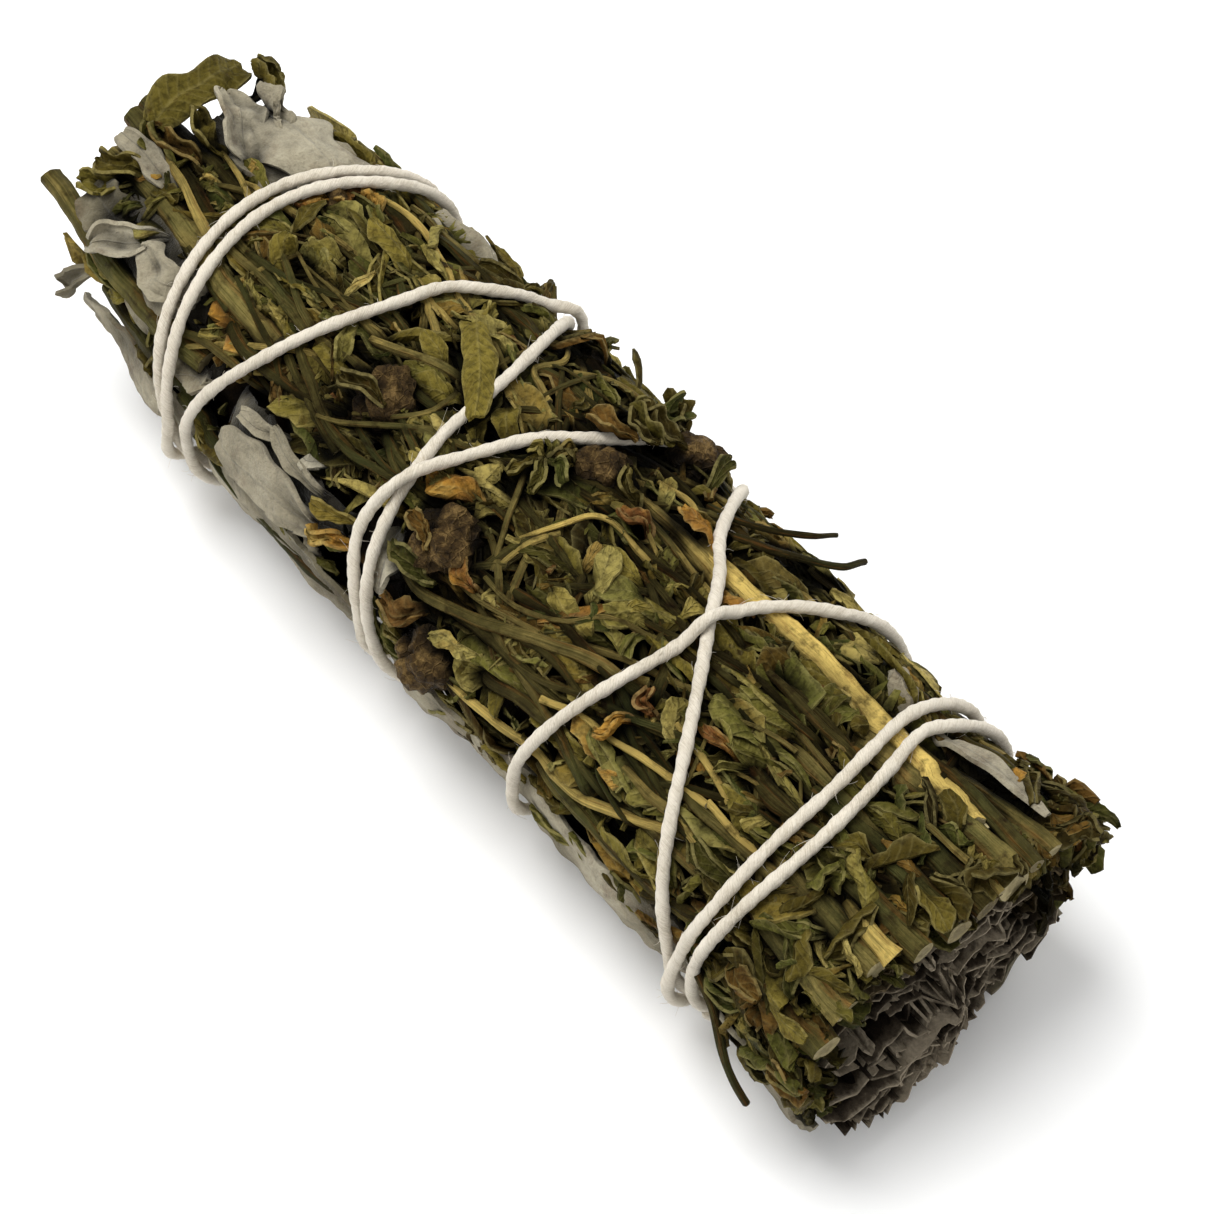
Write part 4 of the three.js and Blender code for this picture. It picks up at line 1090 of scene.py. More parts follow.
def seedPart(ownHeads, seed):
    # a globe of four lobes with clefts between them that widen to the top, rough with small warts
    parts = []
    for k, (x, deg, depth, radius, tilt) in enumerate(ownHeads):
        polar = np.linspace(0, math.pi, 26)[1:-1][:, None]
        around = np.arange(44)[None] / 44 * tau
        top = 0.5 + 0.5 * np.cos(polar)
        cleft = np.abs(np.cos(2 * around)) ** 0.7
        shape = (0.86 + 0.14 * cleft * np.sin(polar) - (0.24 - 0.18 * cleft) * top**2)
        shape = shape * (1 - 0.25 * np.exp(-((polar / 0.35) ** 2)))
        globe = np.stack(np.broadcast_arrays(
            np.sin(polar) * np.cos(around), np.sin(polar) * np.sin(around), np.cos(polar) * np.ones_like(around)
        ), -1) * (radius * shape)[..., None]
        rough = 0.1 * wobble(globe, 1.6, seed + k) + 0.05 * wobble(globe, 0.6, seed + 9 + k)
        rough = rough - 0.16 * np.abs(wobble(globe, 1.2, seed + 5 + k))
        globe *= 1 + rough[..., None]
        up = outwardAt(np.array(deg + tilt, float)) + np.array([-0.5, 0, 0])
        up /= np.linalg.norm(up)
        side = np.cross(up, [0.3, 1, 0])
        side /= np.linalg.norm(side)
        turned = globe @ np.stack([side, np.cross(up, side), up])
        seat = onAxis(x, deg, float(surfaceRadius(np.array(x), np.array(deg))) - depth)
        rings = (turned + seat)[None]
        ends = [(seat + up * radius * end)[None] for end in (0.42, -0.62)]
        grain = np.stack(np.broadcast_arrays(cleft, top, 0.0), -1)
        parts.append(closedRings(rings, ends[0], ends[1], 0.5 + 0.2 * math.sin(3 * k), grain[None]))
    return parts


def rodTable(rows):
    # rows of a radius, a tone, points along the rod and what else it says, as a dictionary for each rod
    return [{"radius": radius, "tone": tone, "at": at, **dict(*more)} for radius, tone, at, *more in rows]


# stems and stalks that lie on top, each in its own place
topStems = rodTable([  # radius, tone, points, more
    (0.35, 0.7, [(52, 79, 0.3), (46, 79, 0.4), (41, 79, 0.1)]),
    (0.8, 0.3, [(51.8, 61, 0.3), (48, 59, 0.3), (42, 56, 0), (34, 55, -1)]),
    (1, 0.8, [(16, 63.5, -0.2), (10, 63.5, 0.2), (4, 65, 0)]),
    (0.95, 0.85, [(50.4, 121, 0.3), (47.5, 120.6, 0.4), (44.5, 120, -0.6)]),
    (1.3, 0.5, [(50.6, 142.6, 0.5), (47, 142, 0.5), (43, 140, -0.5)], {"thin": 0.1}),
    (1.1, 0.5, [(51.4, 50.5, 0), (46, 51.5, 0), (40, 52.5, -0.5)], {"thin": 0.1}),
    (0.6, 0.5, [(40, 131, 0.1), (35, 132, 0.2), (26, 133, 0), (22, 135, -0.6)]),
    (0.32, 1, [(31, 129, 0.5), (25, 134, 0.6), (19, 138.5, 0.7), (14, 143, 0.8)], {"thin": 0}),
    (0.32, 1, [(36.5, 128.5, 0.2), (33, 128.5, 0.5), (30.8, 129.2, 0.5)], {"thin": 0}),
    (0.5, 0.85, [(31, 144, -0.6), (27, 149, 0.2), (22, 157, 0.5), (16, 161, 0.5), (9, 163, 0.6), (5, 166, 0.3)]),
    (0.66, 0.5, [(21, 120, -0.4), (15, 124, 0.4), (9, 135, 0.6), (4, 143, 0.6), (-1, 147.5, 0.6), (-6, 147, -0.4)]),
    (0.3, 0.6, [(17, 103, -0.2), (13, 110, 0.4), (11, 120, 0.4), (7, 129, 0.5), (3, 130, 0.5)]),
    (0.28, 0.6, [(10, 130, 0.2), (6, 134, 0.4), (1, 137, 0.4), (-4, 138, 0.1)]),
    (0.33, 0.6, [(-2.6, 90, 0.6), (-1, 101, 0.7), (0.5, 112, 0.7), (3, 128, 0.4)]),
    (0.3, 1, [(11, 81, 0), (7, 82, 0.5), (5, 87, 0.7), (4, 98, 0.7), (2.4, 113, 0.2)]),
    (0.34, 0.75, [(4.2, 101, 0.2), (3.4, 112, 0.5), (3, 126, 0.1)]),
    (0.4, 0.5, [(-3, 90, 0.2), (-5, 98, 0.5), (-7.4, 108, 0.2)]),
    (0.45, 0.55, [(14, 70, -0.4), (8, 71, 0.3), (4.5, 73, 0.5), (2, 77, 0.5), (-0.5, 84, 0.2)]),
    (0.62, 0.62, [(-12, 83, 0.2), (-16, 88, 0.6), (-19, 94, 0.5), (-22, 99, 0)]),
    (0.28, 0.65, [(-12.4, 90, 0.2), (-12.4, 104, 0.5), (-14, 115, 0.6), (-17, 124, 0.3)]),
    (0.32, 0.6, [(-11, 108, 0), (-13.5, 118, 0.5), (-17, 128, 0.5), (-19.5, 133, 0.1)]),
    (0.62, 0.35, [(-13, 135, -0.6), (-17, 133.5, 0.1), (-22, 128.5, 0.1), (-27, 121, -0.4)]),
    (0.55, 0.45, [(-16, 139, -0.6), (-20, 134, 0), (-26, 127, -0.3)]),
    (0.8, 0.45, [(-26, 116, -0.6), (-32, 113, 0), (-39, 110.5, -0.4)]),
    (1.2, 0.6, [(-28, 129, -0.6), (-36, 126.5, 0.1), (-42, 124, 0.3), (-49, 122.5, 0.4), (-55.5, 123, 0.5)],
     {"thin": 0.1}),
    (0.8, 0.35, [(-34, 131, -0.8), (-43, 126, 0), (-52, 125.5, 0)]),
    (1.2, 0.42, [(-33, 154, -0.6), (-38, 154, 0.1), (-43, 153, 0.9), (-48, 152, 1.5), (-58.5, 147, 1.5)],
     {"thin": 0.15, "free": 1}),
    (1, 0.2, [(-32, 169, -0.9), (-38, 167, 0), (-48, 167.5, 0)]),
    (0.75, 0.02, [(-9, 186, -0.4), (-14, 189, 0.4), (-21, 189, 0.6), (-27, 185, 0.5), (-31, 180, 0)]),
    (0.5, 0.2, [(-12, 183, -0.4), (-17, 185, 0.4), (-23, 184, 0.4), (-26, 181, 0)]),
    (1.05, 0.15, [(-16, 177, -0.7), (-22, 176.5, 0.4), (-29, 174, 0.4), (-34, 171, -0.2)]),
    (1.1, 0.32, [(-40, 117, -0.7), (-48, 108, 0.1), (-53, 104, 0.2), (-57.8, 102.5, 0.4)], {"thin": 0.1}),
    (1, 0.3, [(-41, 94, -0.8), (-48, 91, 0), (-54, 93, 0.1), (-58.4, 92, 0.1)], {"thin": 0.1}),
    (0.5, 0.75, [(-41, 118, 0.3), (-45, 113, 0.8), (-49, 109, 0.9), (-53.5, 103, 0.8)]),
    (0.32, 0.75, [(-41, 95, 0.2), (-44, 90, 0.6), (-48, 85.5, 0.2)]),
    (0.38, 0.95, [(-19, 61, 0.1), (-24.5, 54, 0.5), (-29, 49, 0.6), (-35.5, 51.5, 0.2)]),
    (0.3, 0.85, [(-18, 68.5, 0), (-21, 68.2, 0.3), (-24.5, 66, 0)]),
    (0.36, 0.75, [(-7, 63, 0.2), (-10.8, 57.5, 0.6), (-10.2, 47, 0.7), (-12.2, 37, 0.4)]),
    (0.4, 0.7, [(3, 30, 0.2), (-2, 32.5, 0.8), (-6, 37, 0.8), (-9, 46, 0.1)]),
    (0.22, 0.7, [(5.5, 69.5, 0.1), (3, 63.5, 0.6), (0, 54, 0.4)]),
    (0.32, 0.85, [(13, 56.5, 0.1), (8.5, 54, 0.6), (5, 55.5, 0.2)]),
    (0.34, 0.95, [(32, 124, 0.1), (28.5, 121.5, 0.4), (24, 119.5, 0.2)]),
    (0.45, 0.2, [(37, 172, 0.4), (41.4, 176, 1.6), (44.2, 188, 2.4), (47, 199, 2.9)], {"thin": 0.25, "free": 1}),
    (0.32, 0.12, [(9, 46, 0), (14, 42, 1.6), (17, 34, 3), (17.6, 27, 3.8)], {"free": 1}),
    (0.4, 0.12, [(13, 48, 0.2), (17.5, 43, 1.6), (20.8, 36, 3), (21, 28, 4)], {"free": 1}),
    (0.7, 0.25, [(48, 38, 0), (43, 38, 0.6), (36, 37, 0.4), (28, 38, -0.4)]),
])

longStalks = [  # count, along, angles, length, radius
    (12, (8, 34), (128, 168), (10, 22), (0.4, 0.8)), (7, (12, 38), (78, 108), (9, 18), (0.4, 0.8)),
    (9, (-48, -24), (96, 166), (9, 18), (0.4, 0.9)), (8, (-20, 4), (96, 150), (7, 13), (0.3, 0.6)),
    (7, (-30, 6), (30, 62), (9, 18), (0.35, 0.7)),
]


def stalksAmong(count, along, angles, length, radius, seed):
    # slightly bent rods that lie along the bunch within a stretch of it and dive at both ends
    draw = np.random.default_rng(seed)
    rods = []
    for _ in range(count):
        x, deg, size = draw.uniform(*along), draw.uniform(*angles), draw.uniform(*length)
        slope, bend, height = draw.normal(0, 0.5), draw.normal(0, 3.0), draw.uniform(-0.3, 0.3)
        at = [
            (x + size * u, deg + slope * size * u + bend * (1 - 4 * u * u), height) for u in (-0.5, -0.17, 0.17, 0.5)
        ]
        if not any(inPatch(np.array(a), np.array(b), 0.2) for a, b, _ in at):
            size = {"radius": draw.uniform(*radius), "dive": draw.uniform(0.6, 1.6)}
            rods.append({"at": at, **size, "tone": draw.uniform(0.1, 0.6)})
    return rods


topStems += [rod for k, group in enumerate(longStalks) for rod in stalksAmong(*group, 600 + k)]

straw = {
    "at": [
        (46.2, 63.5, 0.5), (43.5, 61, 0.4), (40, 59.2, 0.1), (35, 58, -0.02), (27, 57.6, 0.0), (19, 58.5, 0.0),
        (12, 60, -0.1),
    ],
    "radius": 1.25, "straight": 1, "thin": 0.02, "tone": 1.13, "free": 1,
    # of the torn end: how wide it flares to the right and left, how flat it is pressed, and the stretches along
    # the bunch where it opens, where its right half tears off, where it narrows and where its point frays
    "flares": (2.5, 1.2), "pressed": 0.6,
    "opens": (39.3, 40.9), "tears": (43.0, 43.5), "narrows": (42.4, 46.2), "frays": (44.5, 46.2),
}

stemRings = {"main": 72, "thin": 15, "top": 38, "straw": 130}
plans = [sprayPlan(index) for index in range(sprays["count"])]
stemGroups = [(mainStems(plan[0]), stemRings["main"], index) for index, plan in enumerate(plans)]
stemRoom = roomUnder(stemGroups + [(topStems, stemRings["top"], 77), ([straw], stemRings["straw"], 5)])

for index in range(sprays["count"]):
    draw = np.random.default_rng(500 + index)
    ownStems, ownHeads, lobed, leaflets = plans[index]
    node = f"rue_spray_{index + 1}"
    fillers, bits, crumbs = (scattered(index, draw, *rue[kind]) for kind in ("fillers", "bits", "crumbs"))
    leaves = [
        leafPart(keptClear(plannedLeaves(leaflets, draw)), 13, 7, rue["leafThickness"]),
        leafPart(keptClear(lobedLeaves(lobed, draw)), 10, 7, rue["leafThickness"]),
        leafPart(keptClear(fillers), 8, 5, rue["leafThickness"]),
        leafPart(keptClear(bits), 6, 4, rue["leafThickness"]),
        leafPart(keptClear(crumbs), 4, 3, rue["crumbThickness"]),
        sprayCore(index),
    ]
    newPiece(f"rue_leaves_{index + 1}", leaves, finishes["rue"], [node])
    rods = [
        rodPart(mainStems(ownStems), stemRings["main"], 16, index),
        rodPart(thinStalks(index, draw, rue["stalks"]), stemRings["thin"], 5, 30 + index, cut=False),
    ]
    newPiece(f"rue_stems_{index + 1}", rods, finishes["stem"], [node])
    if ownHeads:
        newPiece(f"rue_seeds_{index + 1}", seedPart(ownHeads, 40 + index), finishes["seed"], [node], sharp=80)
print("rue sprays made")

# ---- leaves that lie on top, each in its own place ----

creased, loose, lifted = {"crumple": 0.4}, {"free": 1, "crumple": 0.4}, {"free": 1, "crumple": 0.3, "depth": -1.2}
topLeaves = [  # along, angle, length, width, heading, height, curl, roll, tone, more
    (-54.6, 101, 10.6, 4.6, -82, 0.3, -0.5, 0.1, 0.4,
     {"free": 1, "depth": 0.1, "base": 0.16, "tip": 0.14, "bow": 0.6, "torn": 0.06, "phase": 1.5,
      "crumple": 0.3, "ruffle": 0.3, "fold": 0.2}),
    (-50.5, 44, 4.6, 3.2, 14, 0.6, 1.4, 0.4, 0.45, {"free": 1, "hook": 0.6, "crumple": 0.4}),
    (-52, 38, 4, 2.4, 40, 0.9, 1.8, -0.6, 0.3, {"free": 1, "hook": 0.8, "crumple": 0.4}),
    (-53.5, 44, 3.4, 2, -30, 0.6, 1.2, 0.3, 0.5, loose),
    (-52.5, 52, 4, 2.2, -60, 0.4, 1, 0.3, 0.35, loose),
    (-50, 118, 5.5, 2.6, 20, 0.4, 1.4, 0.2, 0.4, loose),
    (-49, 110, 6, 2.4, -16, 0.2, 1.6, -0.4, 0.3, loose),
    (-48, 98, 6.4, 2.6, 10, 0, 1.6, 0.4, 0.3, loose),
    (-47, 88, 6.4, 2.8, -8, 0, 1.4, 0.4, 0.4, loose),
    (-51, 126, 4.6, 2.4, 40, 0.3, 1.4, 0.4, 0.5, loose),
    (-44.6, 116, 4.6, 3, 72, 0.9, 0.9, 0.2, 0.72, {"base": 0.7}),
    (-44, 77, 3.2, 1.5, 75, 0.5, 1.8, 0, 0.85),
    (-42, 93, 5, 3, 20, 0.3, 2, 0.4, 0.8, creased),
    (-40, 100, 4, 2.2, 60, 0.4, 1.2, 0, 0.6),
    (-35, 62, 5, 4.2, 0, 0.5, 1.2, 0.3, 0.97, {"crumple": 0.6, "ruffle": 0.6}),
    (-33.5, 108, 3.4, 2.6, -70, 0.8, 0.8, 0.2, 0.6, {"base": 0.6}),
    (-29.5, 84, 4, 3.2, 40, 0.5, 1.2, 0.3, 0.62),
    (-28.5, 93, 5, 2.4, 4, 0.8, 0.9, -0.2, 0.72),
    (-25.2, 66, 6.6, 2.5, 2, 0.8, -0.8, 0.1, 0.6, {"base": 0.4, "tip": 0.35}),
    (-17.4, 64, 11.8, 3.1, 141, 1.9, -0.7, 0.05, 0.56,
     {"free": 1, "depth": 0.2, "base": 0.14, "tip": 0.2, "bow": 0.5, "crumple": 0.2, "ruffle": 0.25}),
    (-22, 116, 5.4, 2.8, -72, 0.6, 1.8, 0.5, 0.6, {"sweep": 0.8}),
    (-25, 106, 5, 2, 30, 0.5, 1.4, 0.2, 0.6),
    (-28, 103, 5.5, 2.4, 12, 0.4, 1.2, 0.5, 0.55),
    (-17, 58, 4.6, 2.4, -50, 0.7, 1.4, 0.3, 0.66),
    (-22.5, 44, 3.6, 1.8, 20, 0.8, 1.6, 0.2, 0.55),
    (-9.2, 77, 4.4, 2.8, 140, 0.8, 1, 0.1, 0.5),
    (-7, 99, 3.8, 2.6, -30, 0.6, 1, 0.3, 0.55),
    (-2, 114.5, 6, 3.4, 14, 1.2, -1.2, -0.2, 0.93,
     {"crumple": 0.5, "base": 0.6, "over": 1, "phase": 0.6, "ceiling": 1.4}),
    (-10, 150.5, 4.2, 1.6, 4, 0.4, 1, 0, 0.6),
    (-9.4, 158, 4, 2, 8, 0.3, 2, 0.3, 0.85, {"crumple": 0.5}),
    (2.8, 151, 6.4, 3.2, 18, 0.7, 1.6, 0.3, 0.93, {"crumple": 0.75, "ruffle": 0.6, "torn": 0.25}),
    (3.2, 133, 3.4, 2.7, 22, 0.9, 2, 0.1, 0.9, {"base": 0.5, "tip": 0.25}),
    (13.2, 60, 3, 1.7, 8, 0.9, -1.4, 0.2, 0.99, {"base": 0.5}),
    (14, 85, 5, 1.8, -14, 0.5, 1.6, 0.3, 0.3, creased),
    (10, 77, 4.4, 1.9, 20, 0.5, 2, -0.3, 0.25, creased),
    (17, 80, 4, 2.4, -30, 0.3, 2.2, 0.4, 0.22, creased),
    (7.4, 117, 6, 3.2, 172, 0.6, 0.6, 0.3, 0.66, {"teeth": 3}),
    (11.5, 112, 5.6, 2.6, -62, 0.8, 0.9, 0.2, 0.66),
    (8.6, 108, 3.4, 1.3, -80, 0.9, 1, 0.1, 0.72),
    (13.6, 106, 3.2, 1.3, -110, 0.9, 1.2, 0.2, 0.66),
    (14.4, 105, 3.4, 1.1, -135, 0.9, 1.2, 0.2, 0.66),
    (4, 145, 9.4, 3, 172, 0.3, 0.9, 0.25, 0.52, {"base": 0.4, "tip": 0.5}),
    (4.5, 152, 7.4, 2.4, 170, 0.4, 1.1, 0.2, 0.5, {"tip": 0.9}),
    (20.5, 148, 7, 2.4, 6, 0.4, 1.2, 0.3, 0.55, {"base": 0.5}),
    (19.6, 136, 4.4, 2.6, -76, 0.8, 2.3, 0.5, 0.5, {"sweep": 0.9}),
    (23.6, 125, 4, 2, 60, 0.7, 2, 0.4, 0.55, {"sweep": -0.8}),
    (22.6, 127, 3.2, 1.7, 30, 1, 1.2, 0.1, 0.97, creased),
    (30, 85, 6.4, 2.6, 6, 0.9, 0.8, 0.2, 0.55),
    (30.8, 97, 6.4, 3.6, 14, 0.9, -0.7, 0.1, 0.55, {"base": 0.6, "tip": 0.35}),
    (22.8, 86, 3, 2.2, 30, 0.2, 2.4, 0.4, 0.3),
    (25, 140, 3.4, 2, 40, 0.6, 1.2, 0.2, 0.82),
    (29.5, 137, 4.2, 2.6, 18, 0.6, 1.2, 0.2, 0.6),
    (44.6, 107, 6.6, 4.6, 72, 1, 0.9, -0.15, 0.42, {"base": 0.5, "tip": 0.4, "bow": 0.8}),
    (41.6, 107, 4.8, 2.6, 60, 0.6, 2, 0.4, 0.45, creased),
    (43, 113, 4, 2.2, 70, 0.9, 2.2, 0.2, 0.5, creased),
    (41, 127, 5.6, 1.7, 200, 1.2, 1.4, 0.2, 0.75),
    (45, 134, 3.4, 2.2, 10, 1, 2.6, 0.1, 0.72, {"base": 0.5}),
    (34.6, 108, 4.4, 1.6, 98, 0.7, 1.2, 0.2, 0.66),
    (31, 109, 3, 1.5, 60, 0.6, 2, 0.3, 0.6),
    (26, 67, 4, 3.4, 80, 0.3, 0.6, 0.3, 0.25, {"base": 0.4}),
    (29, 67, 3.6, 3, 84, 0.2, 0.6, -0.2, 0.22, {"base": 0.4}),
    (31, 61, 5, 2.4, 84, 0.4, 0.8, 0.4, 0.3, {"base": 0.4}),
    (37, 146, 5, 2.8, 190, 0.5, 1.8, 0.4, 0.3),
    (42, 150, 5, 2.6, 200, 0.5, 2, -0.3, 0.3, creased),
    (36, 43, 8, 3.4, 4, 0.6, 1.8, 0.2, 0.4),
    (41, 42, 6, 3.4, 186, 0.7, 1.6, 0.4, 0.1, {"crumple": 0.5}),
    (45, 40, 6, 3.2, 176, 1.2, 1.6, -0.4, 0.1, {"crumple": 0.5, "ruffle": 0.5}),
    (49, 46, 4, 3, 200, 0.8, 1.8, 0.4, 0.1, {"crumple": 0.5, "ruffle": 0.5}),
    (8, 44, 3, 1.4, -60, 2, 0.8, 0.2, 0.1, {"free": 1}),
    (1.4, 56, 4.6, 2.6, 30, 1.9, 1, 0.3, 0.25, lifted),
    (2.6, 52, 4.4, 2.6, -10, 1.9, 1.2, -0.2, 0.15, lifted),
    (3.2, 47, 5, 2.6, 10, 1.9, 1.2, 0.4, 0.3, lifted),
    (0.6, 45, 4.4, 2.6, -70, 1.9, 1.2, 0.4, 0.12, lifted),
    (3.6, 42, 4.8, 2.6, 30, 1.9, 1.4, -0.4, 0.2, lifted),
    (2.4, 34, 4.4, 2.4, 0, 1.9, 1.4, 0.2, 0.2, {"free": 1, "crumple": 0.4, "depth": -1}),
    (0.2, 141, 6.4, 2, 6, 0.9, 1.6, 0.35, 0.08, {"crumple": 0.3, "depth": 0.2, "ceiling": 1.6, "over": 1}),
    (-1.4, 133, 3.6, 1.4, -24, 2.2, 1.4, 0.2, 0.1, {"free": 1, "crumple": 0.3, "depth": -1.6, "torn": 0.2}),
    (-14.6, 113, 5, 1.8, 10, 1.6, 1.6, 0.3, 0.15, {"free": 1, "crumple": 0.3, "depth": -0.8}),
    (13.6, 60.5, 4.4, 2, 6, 1, -0.9, 0.2, 0.92,
     {"free": 1, "crumple": 0.25, "depth": -0.5, "torn": 0.2, "phase": 0.6}),
    (9.4, 74, 3.4, 2.2, 20, 0.5, 1.6, 0.3, 1, {"over": 1, "crumple": 0.4, "phase": 0.6}),
    (6.6, 72, 3.6, 1.6, -20, 0.4, 2, -0.4, 0.3, {"over": 1, "crumple": 0.4, "phase": 0.9}),
    (21.6, 127, 3, 1.8, 60, 0.8, 1.8, 0.4, 0.93, {"over": 1, "crumple": 0.4, "phase": 0.6}),
    (22.4, 124, 2.6, 1.6, -40, 0.7, 1.8, 0.2, 1, {"over": 1, "crumple": 0.4, "phase": 0.9}),
    (30, 112, 5, 1.3, 4, 0.7, 1.2, 0.2, 0.93, {"over": 1, "crumple": 0.2, "phase": 0.6}),
    (3.4, 137, 3.4, 2, -30, 0.9, 1.2, 0.3, 0.92, {"over": 1, "crumple": 0.3, "phase": 0.9}),
    (-36.5, 66, 4, 2.4, 60, 0.6, 1.6, 0.3, 0.95, {"over": 1, "crumple": 0.45, "phase": 0.6}),
    (-33.5, 58, 4, 2.2, -30, 0.6, 1.6, 0.3, 0.88, {"over": 1, "crumple": 0.45, "phase": 0.9}),
    (-35, 53, 4.4, 2.4, 20, 0.6, 1.2, 0.3, 0.98, {"over": 1, "crumple": 0.45, "phase": 0.9}),
]


def starLeaf(x, deg, size, tone):
    # narrow leaflets spread from one point like a star, each with a heading and a share of the size
    more = {"free": 1, "depth": 0.1, "base": 1.2, "tip": 0.35, "hook": -0.7, "crumple": 0.25}
    rays = [(12, 0.6), (-50, 0.8), (-115, 0.8), (78, 1.1), (125, 1.2), (170, 1.0), (215, 0.7)]
    return [
        (x, deg, size * share, size * 0.36, heading, 0.8, 1.3, 0.1 * k, tone - 0.06 * k, more)
        for k, (heading, share) in enumerate(rays)
    ]


def topLeafTable(rows):
    # rows of leaves as arrays: the defaults, a phase that differs from row to row, then what the row says
    names = ("x", "deg", "length", "width", "heading", "height", "curl", "roll", "tone")
    return table([
        leafDefaults | {"phase": 1.7 * k, "ceiling": 0.7} | dict(zip(names, row)) | dict(*row[len(names):])
        for k, row in enumerate(rows)
    ])


strewn = [  # count, along, angles, length, width, height, share over the stems, tone, most height over the surface
    (54, (39.5, 47.5), (102, 168), (3, 7.5), (1.8, 4.2), (-0.5, 0.5), 0.65, 0.36, 0.7),
    (26, (40.5, 49.5), (160, 190), (3, 7), (1.6, 3.4), (-0.8, 0.1), 0.6, 0.3, 0.5),
    (20, (46, 50.5), (104, 160), (2, 4), (1.2, 2.4), (-1.2, 0), 0.1, 0.4, 0.4),
    (30, (41, 50.5), (64, 100), (2.5, 6), (1.4, 2.8), (-0.6, 0.3), 0.5, 0.35, 0.5),
    (26, (44, 50), (14, 48), (2, 5.5), (1.4, 3), (-0.4, 0.8), 0.6, 0.26, 0.9),
    (60, (46.5, 50), (6, 62), (2.5, 5), (1.6, 3.4), (-4.6, -0.4), 0, 0.42, 0.2),
    (50, (-52, -45), (84, 132), (2, 5), (1, 2.4), (-1.2, 0.3), 0.3, 0.35, 0.5),
    (46, (-34, 8), (8, 40), (3, 7), (1, 2.6), (-0.4, 1.3), 0.5, 0.3, 0.8),
    (22, (-26, 6), (18, 34), (3, 6), (1, 2.2), (1, 3.4), 1, 0.2, 2.8),
    (50, (-42, 46), (167, 186), (3, 7), (1.2, 2.8), (-1.4, -0.2), 0.3, 0.22, 0),
    (70, (47.5, 50.5), (18, 168), (2.5, 5), (1.4, 3), (-4.4, -1.2), 0, 0.3, 0),
    (70, (-47, -41), (0, 360), (5, 8.5), (2, 4), (-9.5, -1.8), 0, 0.36, 0),
    (28, (48, 51), (178, 206), (2.5, 5), (1.4, 2.8), (-4.4, -1.8), 0.3, 0.24, -0.3),
    (44, (48.2, 50.6), (-14, 66), (2, 4.4), (1.6, 3.4), (-8.5, -2), 0, 0.55, 0),
]


def strewnLeaves(count, along, angles, length, width, height, over, tone, most, seed):
    # leaves at random places within a stretch of the bunch, crumpled and lying every way
    draw = np.random.default_rng(seed)
    x = draw.uniform(*along, count)
    heading = draw.normal(0, 50, count) + 180 * (draw.uniform(0, 1, count) > 0.6)
    toCutEnd = np.maximum(-np.cos(np.radians(heading)), 0.05)
    ranges = {"deg": angles, "width": width, "length": length, "height": height} | chances["strewn"]
    leaves = byChance(draw, count, ranges | {"tone": [tone, 0.2], "ceiling": (-0.4, most)})
    leaves |= {"x": x, "heading": heading, "over": leaves["over"] < over}
    leaves["length"] = np.minimum(leaves["length"], (bunch["cutEnd"] + 2.0 - x) / toCutEnd)
    leaves["depth"] = np.maximum(leaves["depth"], -leaves["height"] - 0.8)
    return leafPart(leaves, 9, 6, 0.26)


placedLeaves = topLeafTable(topLeaves + starLeaf(-2, 83.5, 3.4, 0.6))
newPiece("rue_leaves_on_top", [leafPart(placedLeaves, 18, 9, 0.3)], finishes["rue"])
strewnParts = [strewnLeaves(*group, 800 + k) for k, group in enumerate(strewn)]
newPiece("rue_leaves_strewn", strewnParts, finishes["rue"])
newPiece("rue_stems_on_top", [rodPart(topStems, stemRings["top"], 12, 77)], finishes["stem"])
print("leaves and stems on top made")

# ---- the straw-coloured dry stem on top ----

def strawStem():
    # a ridged rod whose torn end is split open and pressed flat: it flares to both sides, more to the right, where
    # it tears off, and from there runs out to a thin splintered point
    made = rodPart([straw], stemRings["straw"], 24, 5)
    points, grain = made["verts"], made["grain"]
    along = points[:, 0] + bunch["middle"][0]
    toRight, toTop = grain[:, 1], grain[:, 2]
    splinter = 0.3 * np.sin(9 * toRight + 1) + 0.25 * np.sin(17 * toRight)
    opened = smoothstep(along, *straw["opens"])
    right = opened * (1 - smoothstep(along + splinter, *straw["tears"])) * np.clip(toRight, 0, 1)
    left = opened * np.clip(-toRight, 0, 1)
    narrow = straw["radius"] * smoothstep(along, *straw["narrows"]) * toRight
    sideways = straw["flares"][0] * right - straw["flares"][1] * left - 0.62 * narrow
    sideways = sideways + 0.11 * np.sin(5.2 * along) * opened
    angle = np.radians(straw["at"][1][1])
    points[:, 0] += 1.5 * splinter * smoothstep(along, *straw["frays"])
    points[:, 1] += sideways * np.sin(angle)
    points[:, 2] -= sideways * np.cos(angle)
    points[:, 2] -= straw["pressed"] * opened * toTop
    return made


newPiece("straw_stem_torn", [strawStem()], finishes["stem"], ["straw_stem"])

# ---- sage leaves ----

